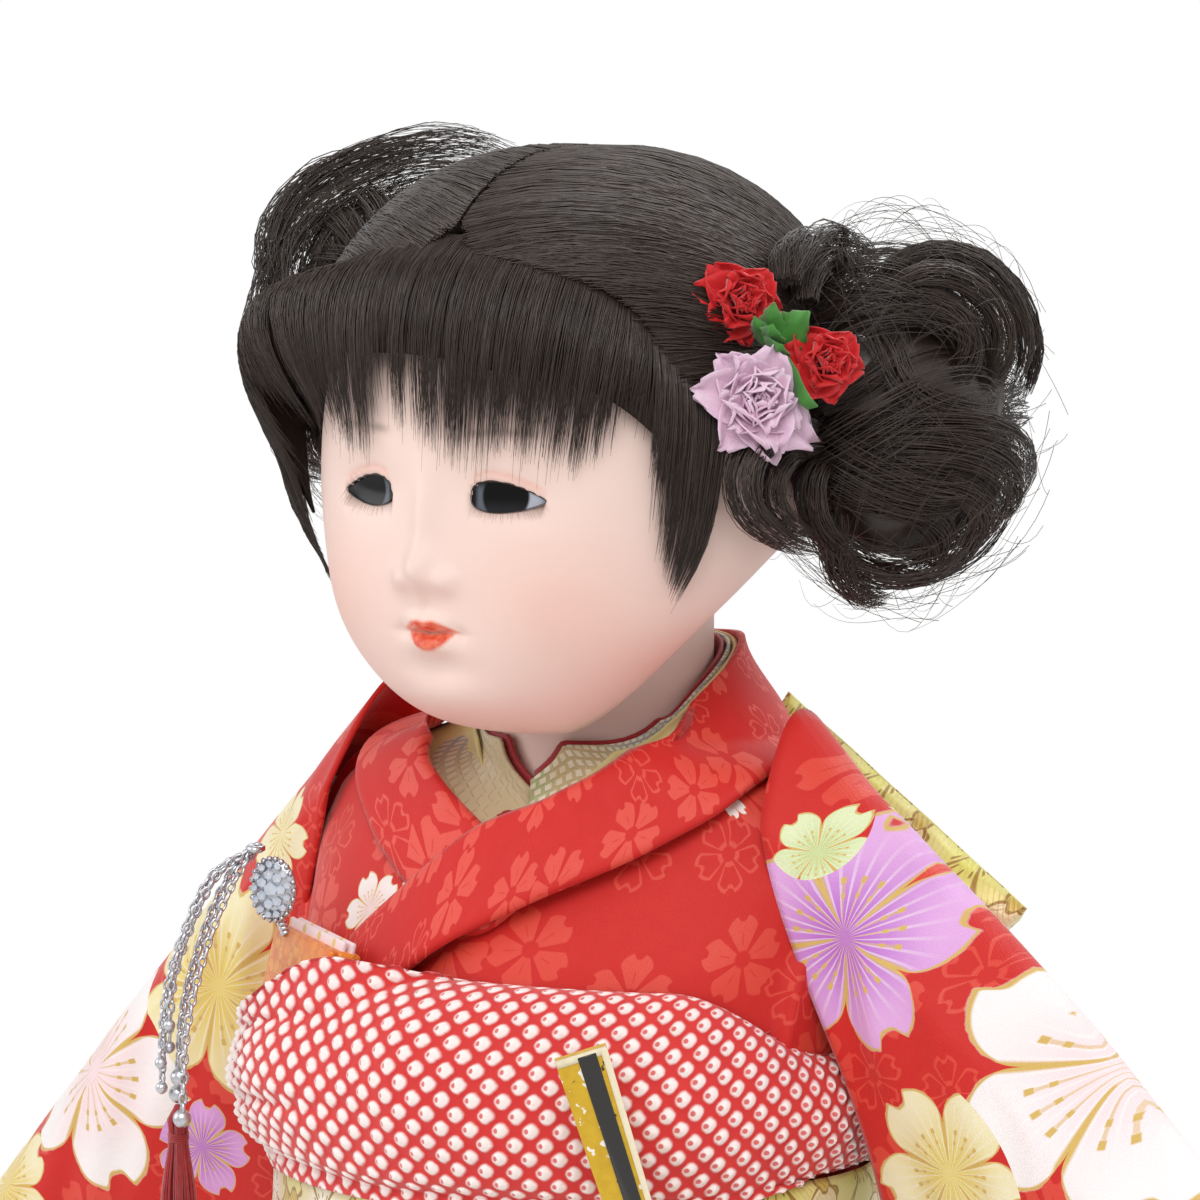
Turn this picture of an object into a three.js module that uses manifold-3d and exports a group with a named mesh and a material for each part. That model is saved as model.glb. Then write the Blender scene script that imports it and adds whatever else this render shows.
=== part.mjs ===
// Ichimatsu doll in a long-sleeved kimono, standing on its sandals.
// Millimetres, +Z up. The doll faces -Y and its own left hand is at +X.
import * as THREE from 'three';
import { mergeVertices } from 'three/addons/utils/BufferGeometryUtils.js';
import Module from 'manifold-3d';

const wasm = await Module();
wasm.setup();

// Fits
const clearance = 0.3;
const clothThickness = 1.5;

// Heights above the floor, each part of the body set on the one below it
const soleThickness = 9;
const ankleHeight = 48;
const hemHeight = 25;
const hipHeight = 180;
const waistRise = 42;
const obiHeight = 62;
const chestRise = 57;
const waistSeam = hipHeight + waistRise;
const obiBottom = waistSeam - 10;
const obiTop = obiBottom + obiHeight;
const obiBend = obiTop - 12;
const cordHeight = obiBottom + obiHeight * 0.47;
const obiageMiddle = obiTop + 16;
const crossingHeight = obiTop + chestRise;
const chest = (above) => crossingHeight + above;
const shoulderHeight = chest(-16);
const neckSeat = chest(5);
const shoulderTop = chest(15.5);
const collarNape = chest(24);
const eyeHeight = chest(61);
const skirtBends = [hemHeight + 35, hipHeight - 60, hipHeight];

// Head
const headHalfWidth = 45;
const headFront = 46.5;
const headBack = 44;
const headMiddle = -6;
const skullAboveEyes = 54;
const chinBelowEyes = 44;
const napeBelowEyes = 20.4;
const cheekTaper = 0.294;
const neckRadius = 19.5;
const plugRadius = 10;
const plugLength = 50;
const eyeSpacing = 30.4;
const eyeOpeningWidth = 14;
const eyeOpeningHeight = 6;
const eyeRadius = 9;
const lidThickness = 1.2;
const hairThickness = 4;
const bunHalf = new THREE.Vector3(25, 28, 34);
const bunOut = 54;
const bunBack = 14;
const leftBunRise = 12;
const rightBunRise = 19;
const tieRadius = 10;
const tieThickness = 2.8;

// Limbs
const shoulderPegRadius = 7;
const shoulderPegInner = 30;
const armRadius = 10;
const wristRadius = 7.5;
const wristPegRadius = 4;
const legSpacing = 44;
const legRadius = 13.5;
const legPegRadius = 8;
const footMiddle = -8;
const soleLength = 68;
const soleWidth = 29;
const thongRadius = 1.9;

// Sleeves, as corners seen from the front: inner top, outer top, inner bottom, outer bottom
const sleeveReach = 160;
const sleeveCorners = [
  [58.6, chest(8)], [sleeveReach - 8, chest(-95)], [84, chest(-189)], [sleeveReach, chest(-267)],
];
const sleeveArmHalf = 16;
const sleeveHemHalf = 5;
const sleeveFold = 3;

// Sash and trimmings
const obiThickness = 2.6;
const obiSwell = 1.2;
const obiBoardThickness = 1.1;
const obiageHalfHeight = 17;
const obiageFront = 14;
const obiageSide = 5;
const cordRadius = 2.6;
const bowWidth = 64;
const bowLength = 110;
const bowThickness = 12;
const bowTilt = 34.5;
const fanLength = 84;
const fanWidth = 9;
const fanLeafThickness = 3;
const fanGuardThickness = 1.2;
const purseWidth = 32;
const purseHeight = 34;
const purseThickness = 6;
const chainRadius = 0.9;

// Outline of the dressed body: height, half width, depth in front, depth behind, place of the middle
const bodyOutline = [
  [hemHeight, 50, 44, 42, -8],
  [skirtBends[0], 50, 44, 42, -8],
  [skirtBends[1], 53, 46, 43, -8],
  [hipHeight, 55, 49, 45, -8],
  [waistSeam - 7, 53, 46, 42, -8],
  [obiBend, 53, 45, 41, -8],
  [chest(-41), 56, 43, 40, -7],
  [chest(-21), 57, 38, 37, -5.5],
  [chest(-6), 57, 32, 33, -3.5],
  [chest(4), 54, 27.5, 30, -2],
  [chest(11.5), 44, 27, 28.5, -0.5],
  [shoulderTop, 28.5, 27, 28, 0],
];

const point = (x, y, z) => new THREE.Vector3(x, y, z);
const radians = THREE.MathUtils.degToRad;
const lerp = THREE.MathUtils.lerp;
const steps = (count) => Array.from({ length: count + 1 }, (_, i) => i / count);
const signedPower = (value, power) => Math.sign(value) * Math.abs(value) ** power;

// Value at a place along a list of [place, value] pairs
function along(pairs, place) {
  const next = pairs.findIndex(([at]) => at >= place);
  if (next === 0) return pairs[0][1];
  if (next < 0) return pairs.at(-1)[1];
  const [[from, low], [to, high]] = [pairs[next - 1], pairs[next]];
  return lerp(low, high, (place - from) / (to - from));
}

// Closed surface from points and triangles, turned to face out
function surface(points, faces) {
  const cross = point(0, 0, 0);
  const volume = faces.reduce((sum, [a, b, c]) =>
    sum + points[a].dot(cross.crossVectors(points[b], points[c])), 0);
  const index = faces.flatMap(([a, b, c]) => (volume < 0 ? [a, c, b] : [a, b, c]));
  return new THREE.BufferGeometry().setFromPoints(points).setIndex(index);
}

// Skin over rings of equal length: a loop joins its last ring to its first, otherwise both ends are capped
function skin(rings, loop = false) {
  const size = rings[0].length;
  const points = rings.flat();
  const faces = [];
  const bands = loop ? rings.length : rings.length - 1;
  for (let r = 0; r < bands; r++) {
    const next = (r + 1) % rings.length;
    for (let i = 0; i < size; i++) {
      const j = (i + 1) % size;
      const [a, b, c, d] = [r * size + i, r * size + j, next * size + j, next * size + i];
      faces.push([a, b, c], [a, c, d]);
    }
  }
  if (!loop) {
    [0, rings.length - 1].forEach((r) => {
      const middle = rings[r].reduce((sum, p) => sum.add(p), point(0, 0, 0)).divideScalar(size);
      const centre = points.push(middle) - 1;
      for (let i = 0; i < size; i++) {
        const [a, b] = [r * size + i, r * size + ((i + 1) % size)];
        faces.push(r === 0 ? [centre, b, a] : [centre, a, b]);
      }
    });
  }
  return surface(points, faces);
}

// Sheet with thickness between two grids of points of the same size
function slab(outer, inner) {
  const [rows, columns] = [outer.length, outer[0].length];
  const points = [...outer.flat(), ...inner.flat()];
  const half = rows * columns;
  const faces = [];
  for (let r = 0; r < rows - 1; r++) {
    for (let c = 0; c < columns - 1; c++) {
      const a = r * columns + c;
      const [b, d] = [a + 1, a + columns];
      faces.push([a, b, d + 1], [a, d + 1, d]);
      faces.push([a + half, d + 1 + half, b + half], [a + half, d + half, d + 1 + half]);
    }
  }
  const border = [];
  for (let c = 0; c < columns - 1; c++) border.push(c);
  for (let r = 0; r < rows - 1; r++) border.push(r * columns + columns - 1);
  for (let c = columns - 1; c > 0; c--) border.push((rows - 1) * columns + c);
  for (let r = rows - 1; r > 0; r--) border.push(r * columns);
  border.forEach((a, i) => {
    const b = border[(i + 1) % border.length];
    faces.push([b, a, a + half], [b, a + half, b + half]);
  });
  return surface(points, faces);
}

// Booleans
function solid(geometry) {
  const bare = geometry.clone();
  bare.deleteAttribute('normal');
  bare.deleteAttribute('uv');
  const merged = mergeVertices(bare, 1e-3);
  const mesh = new wasm.Mesh({
    numProp: 3,
    vertProperties: new Float32Array(merged.attributes.position.array),
    triVerts: new Uint32Array(merged.index.array),
  });
  return new wasm.Manifold(mesh);
}

function geometryOf(made) {
  const mesh = made.getMesh();
  const geometry = new THREE.BufferGeometry();
  geometry.setAttribute('position', new THREE.BufferAttribute(new Float32Array(mesh.vertProperties), 3));
  return geometry.setIndex(new THREE.BufferAttribute(new Uint32Array(mesh.triVerts), 1));
}

const cut = (geometry, ...tools) => geometryOf(tools.reduce((left, tool) =>
  left.subtract(solid(tool)), solid(geometry)));
const join = (...geometries) => geometryOf(geometries.map(solid).reduce((sum, next) => sum.add(next)));

// The main body of a shape, without the slivers that a cut leaves
const largest = (geometry) => geometryOf(solid(geometry).decompose().sort((a, b) =>
  b.volume() - a.volume())[0]);

function mirror(geometry) {
  const turned = geometry.clone().scale(-1, 1, 1);
  const index = Array.from(turned.index.array);
  for (let i = 0; i < index.length; i += 3) [index[i + 1], index[i + 2]] = [index[i + 2], index[i + 1]];
  return turned.setIndex(index);
}

// Round bar between two places, with its own radius at each end
function rod(from, to, radiusFrom, radiusTo = radiusFrom, sides = 12) {
  const length = from.distanceTo(to);
  const bar = new THREE.CylinderGeometry(radiusTo, radiusFrom, length, sides).translate(0, length / 2, 0);
  const turn = new THREE.Quaternion().setFromUnitVectors(point(0, 1, 0), to.clone().sub(from).normalize());
  return bar.applyQuaternion(turn).translate(from.x, from.y, from.z);
}

// Round cord along a line of points
function cord(places, radius, pieces, sides = 3) {
  const section = new THREE.Shape().absarc(0, 0, radius, 0, Math.PI * 2);
  const path = new THREE.CatmullRomCurve3(places);
  return new THREE.ExtrudeGeometry(section, { steps: pieces, curveSegments: sides, extrudePath: path });
}

const ball = (centre, x, y, z, across = 12, up = 8) =>
  new THREE.SphereGeometry(1, across, up).scale(x, y, z).translate(centre.x, centre.y, centre.z);

// Places on the dressed body: turn 0 is the doll's left, -90 its front, out is the distance off the outline
function bodyAt(height) {
  const column = (k) => along(bodyOutline.map((row) => [row[0], row[k]]), height);
  return { width: column(1), front: column(2), back: column(3), middle: column(4) };
}

function outlinePoint(turn, height) {
  const { width, front, back, middle } = bodyAt(height);
  const [c, s] = [Math.cos(radians(turn)), Math.sin(radians(turn))];
  return point(width * c, middle + (s < 0 ? front : back) * s, height);
}

function onBody(turn, height, out = 0, lift = 1) {
  const around = outlinePoint(turn + 1, height).sub(outlinePoint(turn - 1, height));
  const upwards = outlinePoint(turn, height + 0.6).sub(outlinePoint(turn, height - 0.6));
  const outward = around.cross(upwards).normalize().multiply(point(1, 1, lift)).normalize();
  return outlinePoint(turn, height).addScaledVector(outward, out);
}

const bodyRing = (height, out, sides) =>
  steps(sides).slice(1).map((t) =>
    onBody(t * 360, height, typeof out === 'function' ? out(t * 360, height) : out));

const bodyBlock = (heights, out, sides = 40) => skin(heights.map((height) => bodyRing(height, out, sides)));

function bodyBand(heights, inner, outer, sides) {
  const up = heights.map((height) => bodyRing(height, outer, sides));
  const down = [...heights].reverse().map((height) => bodyRing(height, inner, sides));
  return skin([...up, ...down], true);
}

// Panel of cloth on the body between two turns that may change with height
function bodyPanel(heights, turnFrom, turnTo, columns, outer, inner) {
  const grid = (out) => heights.map((height) => steps(columns).map((t) =>
    onBody(lerp(turnFrom(height), turnTo(height), t), height, out)));
  return slab(grid(outer), grid(inner));
}

// Finishes
const finish = (color, roughness, metalness = 0) =>
  new THREE.MeshStandardMaterial({ color, roughness, metalness });
const finishes = {
  gofun: finish(0xf0d9cf, 0.45),
  eye: finish(0x14100e, 0.08),
  hair: finish(0x1c1512, 0.42),
  wood: finish(0xc9a274, 0.6),
  cotton: finish(0xf2efe8, 0.9),
  red: finish(0xd8281f, 0.6),
  darkRed: finish(0x8e1418, 0.65),
  embroidered: finish(0xbdb08a, 0.5),
  cream: finish(0xeadb9f, 0.65),
  pale: finish(0xf6e3e2, 0.7),
  kanoko: finish(0xe9908a, 0.75),
  brocade: finish(0xc8b044, 0.45),
  paper: finish(0xd8cfae, 0.8),
  scarlet: finish(0xc8141c, 0.6),
  pink: finish(0xeec3d6, 0.65),
  leaf: finish(0x3f7a2e, 0.65),
  orange: finish(0xe8731a, 0.55),
  silver: finish(0xc4c4c8, 0.25, 1),
  crystal: finish(0xdfe6f0, 0.05),
  black: finish(0x17130f, 0.3),
  gold: finish(0xd4b24a, 0.35),
  straw: finish(0xc23a2c, 0.6),
};

const doll = new THREE.Group();
doll.name = 'ichimatsu_doll';

function place(name, geometry, material) {
  const mesh = new THREE.Mesh(geometry, material);
  mesh.name = name;
  doll.add(mesh);
}

// Head surface: side turn 0 is the front, rise 90 the crown
const faceForms = [
  // across, above the eyes, spread across, spread up, height of the form
  [0, -13, 4.2, 4.2, 3.6],
  [0, -5, 3.2, 7, 1.6],
  [4.4, -14.5, 2.4, 2.2, 1.2],
  [-4.4, -14.5, 2.4, 2.2, 1.2],
  [0, -22, 5.5, 2, 2.4],
  [0, -25.5, 4.2, 1.6, 2.4],
  [0, -30, 8, 2.6, -0.8],
  [0, -36, 9, 5, 1.4],
  [eyeSpacing / 2, 0, 8, 4, -1.6],
  [-eyeSpacing / 2, 0, 8, 4, -1.6],
  [22, -20, 12, 12, 1.6],
  [-22, -20, 12, 12, 1.6],
];

function onHead(sideTurn, rise, out = 0, withFace = false) {
  const [lat, lon] = [radians(rise), radians(sideTurn)];
  const ahead = signedPower(Math.cos(lon), 0.91);
  const jaw = THREE.MathUtils.smoothstep(ahead, -0.42, 0.87);
  const power = 2 / (rise < 0 ? lerp(1.74, 3.78, jaw) : 2.4);
  const across = Math.cos(lat) ** power;
  const tall = rise < 0 ? lerp(napeBelowEyes, chinBelowEyes, jaw) : skullAboveEyes;
  const up = signedPower(Math.sin(lat), power) * (tall + out);
  const narrow = 1 - cheekTaper * THREE.MathUtils.clamp(-up / chinBelowEyes, 0, 1) ** 1.5;
  const x = (headHalfWidth + out) * across * signedPower(Math.sin(lon), 0.91) * narrow;
  const depth = ((ahead > 0 ? headFront : headBack) + out) * across * ahead;
  const form = ([fx, fz, sx, sz, height]) =>
    height * Math.exp(-(((x - fx) / sx) ** 2) - ((up - fz) / sz) ** 2);
  const face = withFace && ahead > 0 ? faceForms.reduce((sum, row) => sum + form(row), 0) : 0;
  return point(x, headMiddle - depth - face, eyeHeight + up);
}

// Same surface, along a direction from the middle of the head
function headAlong(direction, out) {
  const d = direction.clone().normalize();
  const rise = THREE.MathUtils.radToDeg(Math.asin(d.z));
  return onHead(THREE.MathUtils.radToDeg(Math.atan2(d.x, -d.y)), rise, out);
}

function headBlock(out, columns, rows, withFace = false) {
  const rises = steps(rows).map((t) => 83 * signedPower(2 * t - 1, 1.2));
  const turns = steps(columns).slice(1).map((t) => 180 * signedPower(2 * t - 1, withFace ? 1.5 : 1));
  return skin(rises.map((rise) => turns.map((turn) => onHead(turn, rise, out, withFace))));
}

// Glass eyes lie behind almond openings in the face
function eyeParts(side) {
  const turn = side * 20.5;
  const front = onHead(turn, 0, 0, true);
  const inward = point(-Math.sin(radians(turn)), Math.cos(radians(turn)), 0);
  const centre = front.clone().addScaledVector(inward, eyeRadius + lidThickness);
  const [w, h] = [eyeOpeningWidth / 2, eyeOpeningHeight];
  const almond = new THREE.Shape();
  almond.moveTo(-w, 0);
  almond.quadraticCurveTo(-w * 0.2, h * 1.25, w, 0);
  almond.quadraticCurveTo(0, -h * 0.75, -w, 0);
  const opening = new THREE.ExtrudeGeometry(almond, { depth: 12, bevelEnabled: false, curveSegments: 5 });
  opening.translate(0, 0, -4).rotateX(Math.PI / 2).rotateZ(radians(turn)).translate(front.x, front.y,
    front.z);
  return { centre, opening };
}

const leftEye = eyeParts(1);
const rightEye = eyeParts(-1);
const neckProfile = [
  [0, neckSeat], [neckRadius + 0.6, neckSeat], [neckRadius, neckSeat + 6], [neckRadius, neckSeat + 44],
    [0, neckSeat + 54],
];
const neck = new THREE.LatheGeometry(neckProfile.map(([r, z]) =>
  new THREE.Vector2(r, z)), 24).rotateX(Math.PI / 2);
const plugTop = neckSeat + plugLength / 3;
const plugBottom = plugTop - plugLength;
const plugBore = rod(point(0, 0, plugBottom - clearance), point(0, 0, plugTop + clearance),
  plugRadius + clearance, undefined, 16);
const headWhole = join(headBlock(0, 24, 16, true), neck);
const sockets = [leftEye, rightEye].map(({ centre }) =>
  ball(centre, ...Array(3).fill(eyeRadius + clearance + 0.2), 10, 7));
place('head', cut(headWhole, ...sockets, leftEye.opening, rightEye.opening, plugBore), finishes.gofun);
place('left_eye', ball(leftEye.centre, eyeRadius, eyeRadius, eyeRadius, 10, 7), finishes.eye);
place('right_eye', ball(rightEye.centre, eyeRadius, eyeRadius, eyeRadius, 10, 7), finishes.eye);
place('neck_plug', rod(point(0, 0, plugBottom), point(0, 0, plugTop), plugRadius, undefined, 16),
  finishes.wood);

// Crown hair: combed from the centre parting to an edge that runs along the fringe, the temple and the nape
const hairGap = 1.8;
const hairEdge = new THREE.CatmullRomCurve3([
  point(0.1, -0.76, 0.66), point(0.34, -0.72, 0.62), point(0.62, -0.6, 0.5), point(0.86, -0.46, 0.14),
  point(0.97, -0.12, 0.04), point(0.94, 0.3, -0.2), point(0.7, 0.6, -0.42), point(0.1, 0.86, -0.5),
]);
const partingTurns = [[0, 41], [0.14, 36], [0.28, 24], [0.43, 6], [0.57, -20], [0.71, -52], [0.86, -86],
  [1, -118]];

// Direction part of the way between two others
function between(from, to, share) {
  const turn = new THREE.Quaternion().setFromUnitVectors(from.clone().normalize(), to.clone().normalize());
  return from.clone().applyQuaternion(new THREE.Quaternion().slerp(turn, share));
}

function crownHair() {
  const grid = (out) => steps(11).map((f) => {
    const turn = radians(along(partingTurns, f));
    const top = point(0.006, -Math.sin(turn), Math.cos(turn));
    const edge = hairEdge.getPoint(f);
    return steps(5).map((t) => headAlong(between(top, edge, t), out));
  });
  return slab(grid(hairGap + hairThickness), grid(hairGap));
}

const hairLeft = crownHair();
place('left_hair', hairLeft, finishes.hair);
place('right_hair', mirror(hairLeft), finishes.hair);

// Fringe: from just below the crown hair to the brows, and down in front of the ears
function fringe() {
  const half = [
    [point(0, -0.8, 0.58), point(0, -0.98, 0.2)],
    [point(0.32, -0.78, 0.54), point(0.3, -0.94, 0.18)],
    [point(0.6, -0.66, 0.42), point(0.6, -0.78, 0.14)],
    [point(0.81, -0.55, 0.13), point(0.83, -0.58, -0.06)],
    [point(0.89, -0.42, 0.02), point(0.88, -0.5, -0.24)],
  ];
  const flip = ([top, low]) => [top, low].map((p) => point(-p.x, p.y, p.z));
  const sets = [...half.slice(1).reverse().map(flip), ...half];
  const tops = new THREE.CatmullRomCurve3(sets.map(([top]) => top));
  const lows = new THREE.CatmullRomCurve3(sets.map(([, low]) => low));
  const grid = (fromTop, toLow) => steps(18).map((u) => steps(3).map((t) =>
    headAlong(tops.getPoint(u).lerp(lows.getPoint(u), t), lerp(fromTop, toLow, t))));
  return slab(grid(hairGap + hairThickness, 4.4), grid(0.8, 1.8));
}
place('fringe', fringe(), finishes.hair);

// Buns: loose curls gathered at the side of the head by a tie
function bunParts(rise) {
  const centre = point(bunOut, bunBack, eyeHeight + rise);
  const rings = steps(8).map((v) => steps(13).slice(1).map((u) => {
    const [lat, lon] = [radians(lerp(-80, 80, v)), u * Math.PI * 2];
    const curl = 1 + 0.06 * Math.sin(3 * lon + 5 * lat) + 0.04 * Math.sin(5 * lon - 4 * lat);
    const across = Math.cos(lat) * curl;
    return point(Math.sin(lon) * across, -Math.cos(lon) * across,
      Math.sin(lat) * curl).multiply(bunHalf).add(centre);
  }));
  const direction = point(1, 0.42, rise / 52);
  const seat = headAlong(direction, hairGap + hairThickness + tieThickness / 2 + 1.4);
  const ring = (extra) => new THREE.TorusGeometry(tieRadius, tieThickness / 2 + extra, 5, 12)
    .rotateY(Math.PI / 2).rotateZ(0.4).translate(seat.x, seat.y, seat.z);
  return { bun: cut(skin(rings), headBlock(hairThickness + hairGap + 1.2, 20, 12), ring(clearance)),
    tie: ring(0) };
}

// Hair ornament: roses and leaves on a two-pronged pin pushed into the left bun
const pinRadius = 0.7;
const pinWay = point(-0.24, -0.966, 0.1);
const prong = (rise) => [0, 10, 20, 25].map((far) =>
  point(58, 9, eyeHeight + rise).addScaledVector(pinWay, far));
const pinHead = point(58, 9, eyeHeight + 22).addScaledVector(pinWay, 28);
const pinLine = [...prong(18.5), pinHead, ...prong(25.5).reverse()];
const pin = cord(pinLine, pinRadius, 14);
const leftBun = bunParts(leftBunRise);
const rightBun = bunParts(rightBunRise);
const pinTool = cord(pinLine, pinRadius + clearance, 14);
const prongBore = (rise) => rod(point(58, 9, eyeHeight + rise), point(58, 9,
  eyeHeight + rise).addScaledVector(pinWay, 34),
  pinRadius + 0.6, undefined, 6);
place('left_bun', cut(leftBun.bun, pinTool, prongBore(18.5), prongBore(25.5)), finishes.hair);
place('left_bun_tie', leftBun.tie, finishes.black);
place('right_bun', mirror(rightBun.bun), finishes.hair);
place('right_bun_tie', mirror(rightBun.tie), finishes.black);
place('hairpin', pin, finishes.silver);

// Rose: rings of cupped petals around a bud, flat behind
function rose(radius) {
  const petal = (tilt, turn, size, lift) =>
    ball(point(0, 0, 0), size * 0.62, size * 0.22, size * 0.62, 5, 3)
    .translate(0, 0, size * 0.5).rotateX(-tilt).translate(0, 0, lift).rotateZ(turn);
  const petals = [];
  for (let i = 0; i < 5; i++) petals.push(petal(1.22, (i * Math.PI * 2) / 5, radius * 0.85, radius * 0.16));
  for (let i = 0; i < 3; i++) petals.push(petal(0.7, ((i + 0.5) * Math.PI * 2) / 3, radius * 0.72,
    radius * 0.2));
  return join(ball(point(0, 0, radius * 0.42), radius * 0.3, radius * 0.3, radius * 0.42, 5, 3), ...petals);
}

const flowers = [
  ['red_rose_upper', 6.7, point(41.5, -20, eyeHeight + 33), finishes.scarlet],
  ['red_rose_lower', 6.2, point(55.5, -16, eyeHeight + 25.5), finishes.scarlet],
  ['pink_rose', 9.2, point(48, -24.5, eyeHeight + 16), finishes.pink],
];
const crown = headBlock(hairThickness + hairGap + 0.6, 20, 12);
const faceOut = new THREE.Quaternion().setFromUnitVectors(point(0, 0, 1), point(0.82, -0.55,
  0.16).normalize());
const bunTool = leftBun.bun;
const roses = flowers.map(([name, radius, seat, material]) => {
  const flower = rose(radius).applyQuaternion(faceOut).translate(seat.x, seat.y, seat.z);
  return { name, material, seat, radius, shape: cut(flower, crown, pinTool) };
});
const grown = (flower, extra) => {
  const scale = (flower.radius + extra) / flower.radius;
  const { x, y, z } = point(0, 0, flower.radius * 0.3).applyQuaternion(faceOut).add(flower.seat);
  return flower.shape.clone().translate(-x, -y, -z).scale(scale, scale, scale).translate(x, y, z);
};
roses.forEach(({ name, material, shape }) => place(name, largest(cut(shape, bunTool)), material));
const leafRoot = point(50.2, -18, eyeHeight + 26.5);
const leafWays = [[0.35, 0.3, 0.9], [0.6, -0.45, 0.66], [0.45, -0.2, -0.87]];
const leafShapes = leafWays.map(([x, y, z]) => {
  const way = point(x, y, z).normalize();
  const turn = new THREE.Quaternion().setFromUnitVectors(point(0, 0, 1), way);
  const middle = leafRoot.clone().addScaledVector(way, 4);
  return new THREE.SphereGeometry(1, 5, 4).scale(2.2, 0.9, 4.6).applyQuaternion(turn).translate(middle.x,
    middle.y, middle.z);
});
const leafTools = [crown, pinTool, bunTool, ...roses.map((flower) => grown(flower, 0.4))];
place('rose_leaves', largest(cut(join(ball(leafRoot, 2.6, 2.6, 2.6, 6, 3), ...leafShapes),
  ...leafTools)), finishes.leaf);

// Torso with bores for the neck plug, the shoulder pegs and the legs
const torsoInset = -8;
const torsoRaw = bodyBlock([hipHeight, waistSeam, obiBend, chest(-41), chest(-21), chest(-6),
  neckSeat - clearance], torsoInset, 14);
const legPlace = (side) => point((side * legSpacing) / 2, footMiddle, hipHeight);
const legBore = (side) => rod(legPlace(side).setZ(hipHeight - 1), legPlace(side).setZ(hipHeight + 18.5),
  legPegRadius + clearance);
const pegBore = (side) => rod(point(side * 70, -3, shoulderHeight),
  point(side * (shoulderPegInner - clearance), -3, shoulderHeight), shoulderPegRadius + clearance);
place('torso', cut(torsoRaw, plugBore, legBore(1), legBore(-1), pegBore(1), pegBore(-1)), finishes.wood);

// Legs, socks and sandals
const legForm = [[ankleHeight + clearance, 9.5], [80, 11.5], [118, legRadius], [150, legRadius + 1],
  [hipHeight - clearance, legRadius]];
const legX = legSpacing / 2;
const legBody = skin(legForm.map(([height, radius]) => steps(14).slice(1).map((t) =>
  point(legX + radius * Math.cos(t * 2 * Math.PI), footMiddle + radius * Math.sin(t * 2 * Math.PI),
    height))));
const legPeg = rod(legPlace(1).setZ(hipHeight - 4), legPlace(1).setZ(hipHeight + 18), legPegRadius);
const leg = join(legBody, legPeg);
place('left_leg', leg, finishes.gofun);
place('right_leg', mirror(leg), finishes.gofun);

const footBottom = soleThickness + clearance;
const footForm = [[17, 7, 15], [12, 10, 22], [0, 10.5, 24], [-14, 11.5, 20], [-28, 12.5, 14], [-38, 11.5,
  11], [-45, 7, 8]];
const footRings = footForm.map(([y, half, tall]) => steps(8).slice(1).map((t) => {
  const a = t * 2 * Math.PI;
  const up = signedPower(Math.sin(a), 0.8);
  return point(legX + half * signedPower(Math.cos(a), 0.8), y + footMiddle,
    footBottom + (tall * (up + 1)) / 2);
}));
const ankle = rod(point(legX, footMiddle, footBottom + 6), point(legX, footMiddle, ankleHeight), 10.5,
  11.5, 10);
const toePost = point(legX - 3, footMiddle - 34, soleThickness + 0.1);
const strap = (side) => [
  toePost.clone().setZ(soleThickness + thongRadius),
  point(legX - 3, footMiddle - 33, footBottom + 15.5),
  point(legX + side * 5.5, footMiddle - 26, footBottom + 17.2),
  point(legX + side * 12.6, footMiddle - 14, footBottom + 11),
  point(legX + side * 13.2, footMiddle - 6, soleThickness + thongRadius),
];
const thong = (extra) => join(cord(strap(1), thongRadius + extra, 5), cord(strap(-1),
  thongRadius + extra, 5),
  rod(toePost.clone().setZ(footBottom), toePost.clone().setZ(footBottom + 15.5), thongRadius + extra,
    undefined, 6));
const soleTrim = new THREE.BoxGeometry(60, 120, 40).translate(legX, footMiddle,
  soleThickness + clearance - 20);
const toeSlot = new THREE.BoxGeometry(1.4, 26, 30).translate(legX - 3, footMiddle - 44, footBottom + 12);
const tabi = cut(join(skin(footRings), ankle), thong(clearance), toeSlot);
const zoriThong = cut(thong(0), soleTrim);
const soleShape = new THREE.Shape().absellipse(0, 0, soleWidth / 2, soleLength / 2, 0, Math.PI * 2);
const sole = new THREE.ExtrudeGeometry(soleShape, { depth: soleThickness, bevelEnabled: false,
  curveSegments: 12 })
  .translate(legX, footMiddle - 13, 0);
[['left', (shape) => shape], ['right', mirror]].forEach(([side, turned]) => {
  place(`${side}_tabi`, turned(tabi), finishes.cotton);
  place(`${side}_zori_thong`, turned(zoriThong), finishes.red);
  place(`${side}_zori_sole`,
    turned(mergeVertices(sole.clone().deleteAttribute('normal').deleteAttribute('uv'))), finishes.straw);
});

// Under-kimono skirt and kimono skirt, the left front lapping over the right
const lapTurn = -128;
const hemWave = (turn, height) =>
  1.4 * Math.sin(radians(turn * 7)) * Math.max(0, 1 - height / (hipHeight - 20));
const lap = (turn) => {
  const past = THREE.MathUtils.euclideanModulo(turn - lapTurn, 360);
  return past < 150 ? 1.4 * Math.min(1, past / 8) * Math.min(1, (150 - past) / 90) : 0;
};
const skirtHeights = [hemHeight, ...skirtBends, waistSeam - 17, waistSeam - clearance];
const skirtOut = (turn, height) =>
  hemWave(turn, height) + lap(turn) * Math.min(1, Math.max(0, (waistSeam - 17 - height) / 30));
const skirtIn = (turn, height) => hemWave(turn, height) - clothThickness - 1;
place('kimono_skirt', bodyBand(skirtHeights, skirtIn, skirtOut, 26), finishes.red);
const underOut = (extra) => (turn, height) => hemWave(turn, height) - clothThickness - 1.8 - extra;
const underHeights = [hemHeight + 5, ...skirtBends, waistSeam - 8];
place('under_skirt', bodyBand(underHeights, underOut(1.3), underOut(0), 26), finishes.pale);

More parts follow.
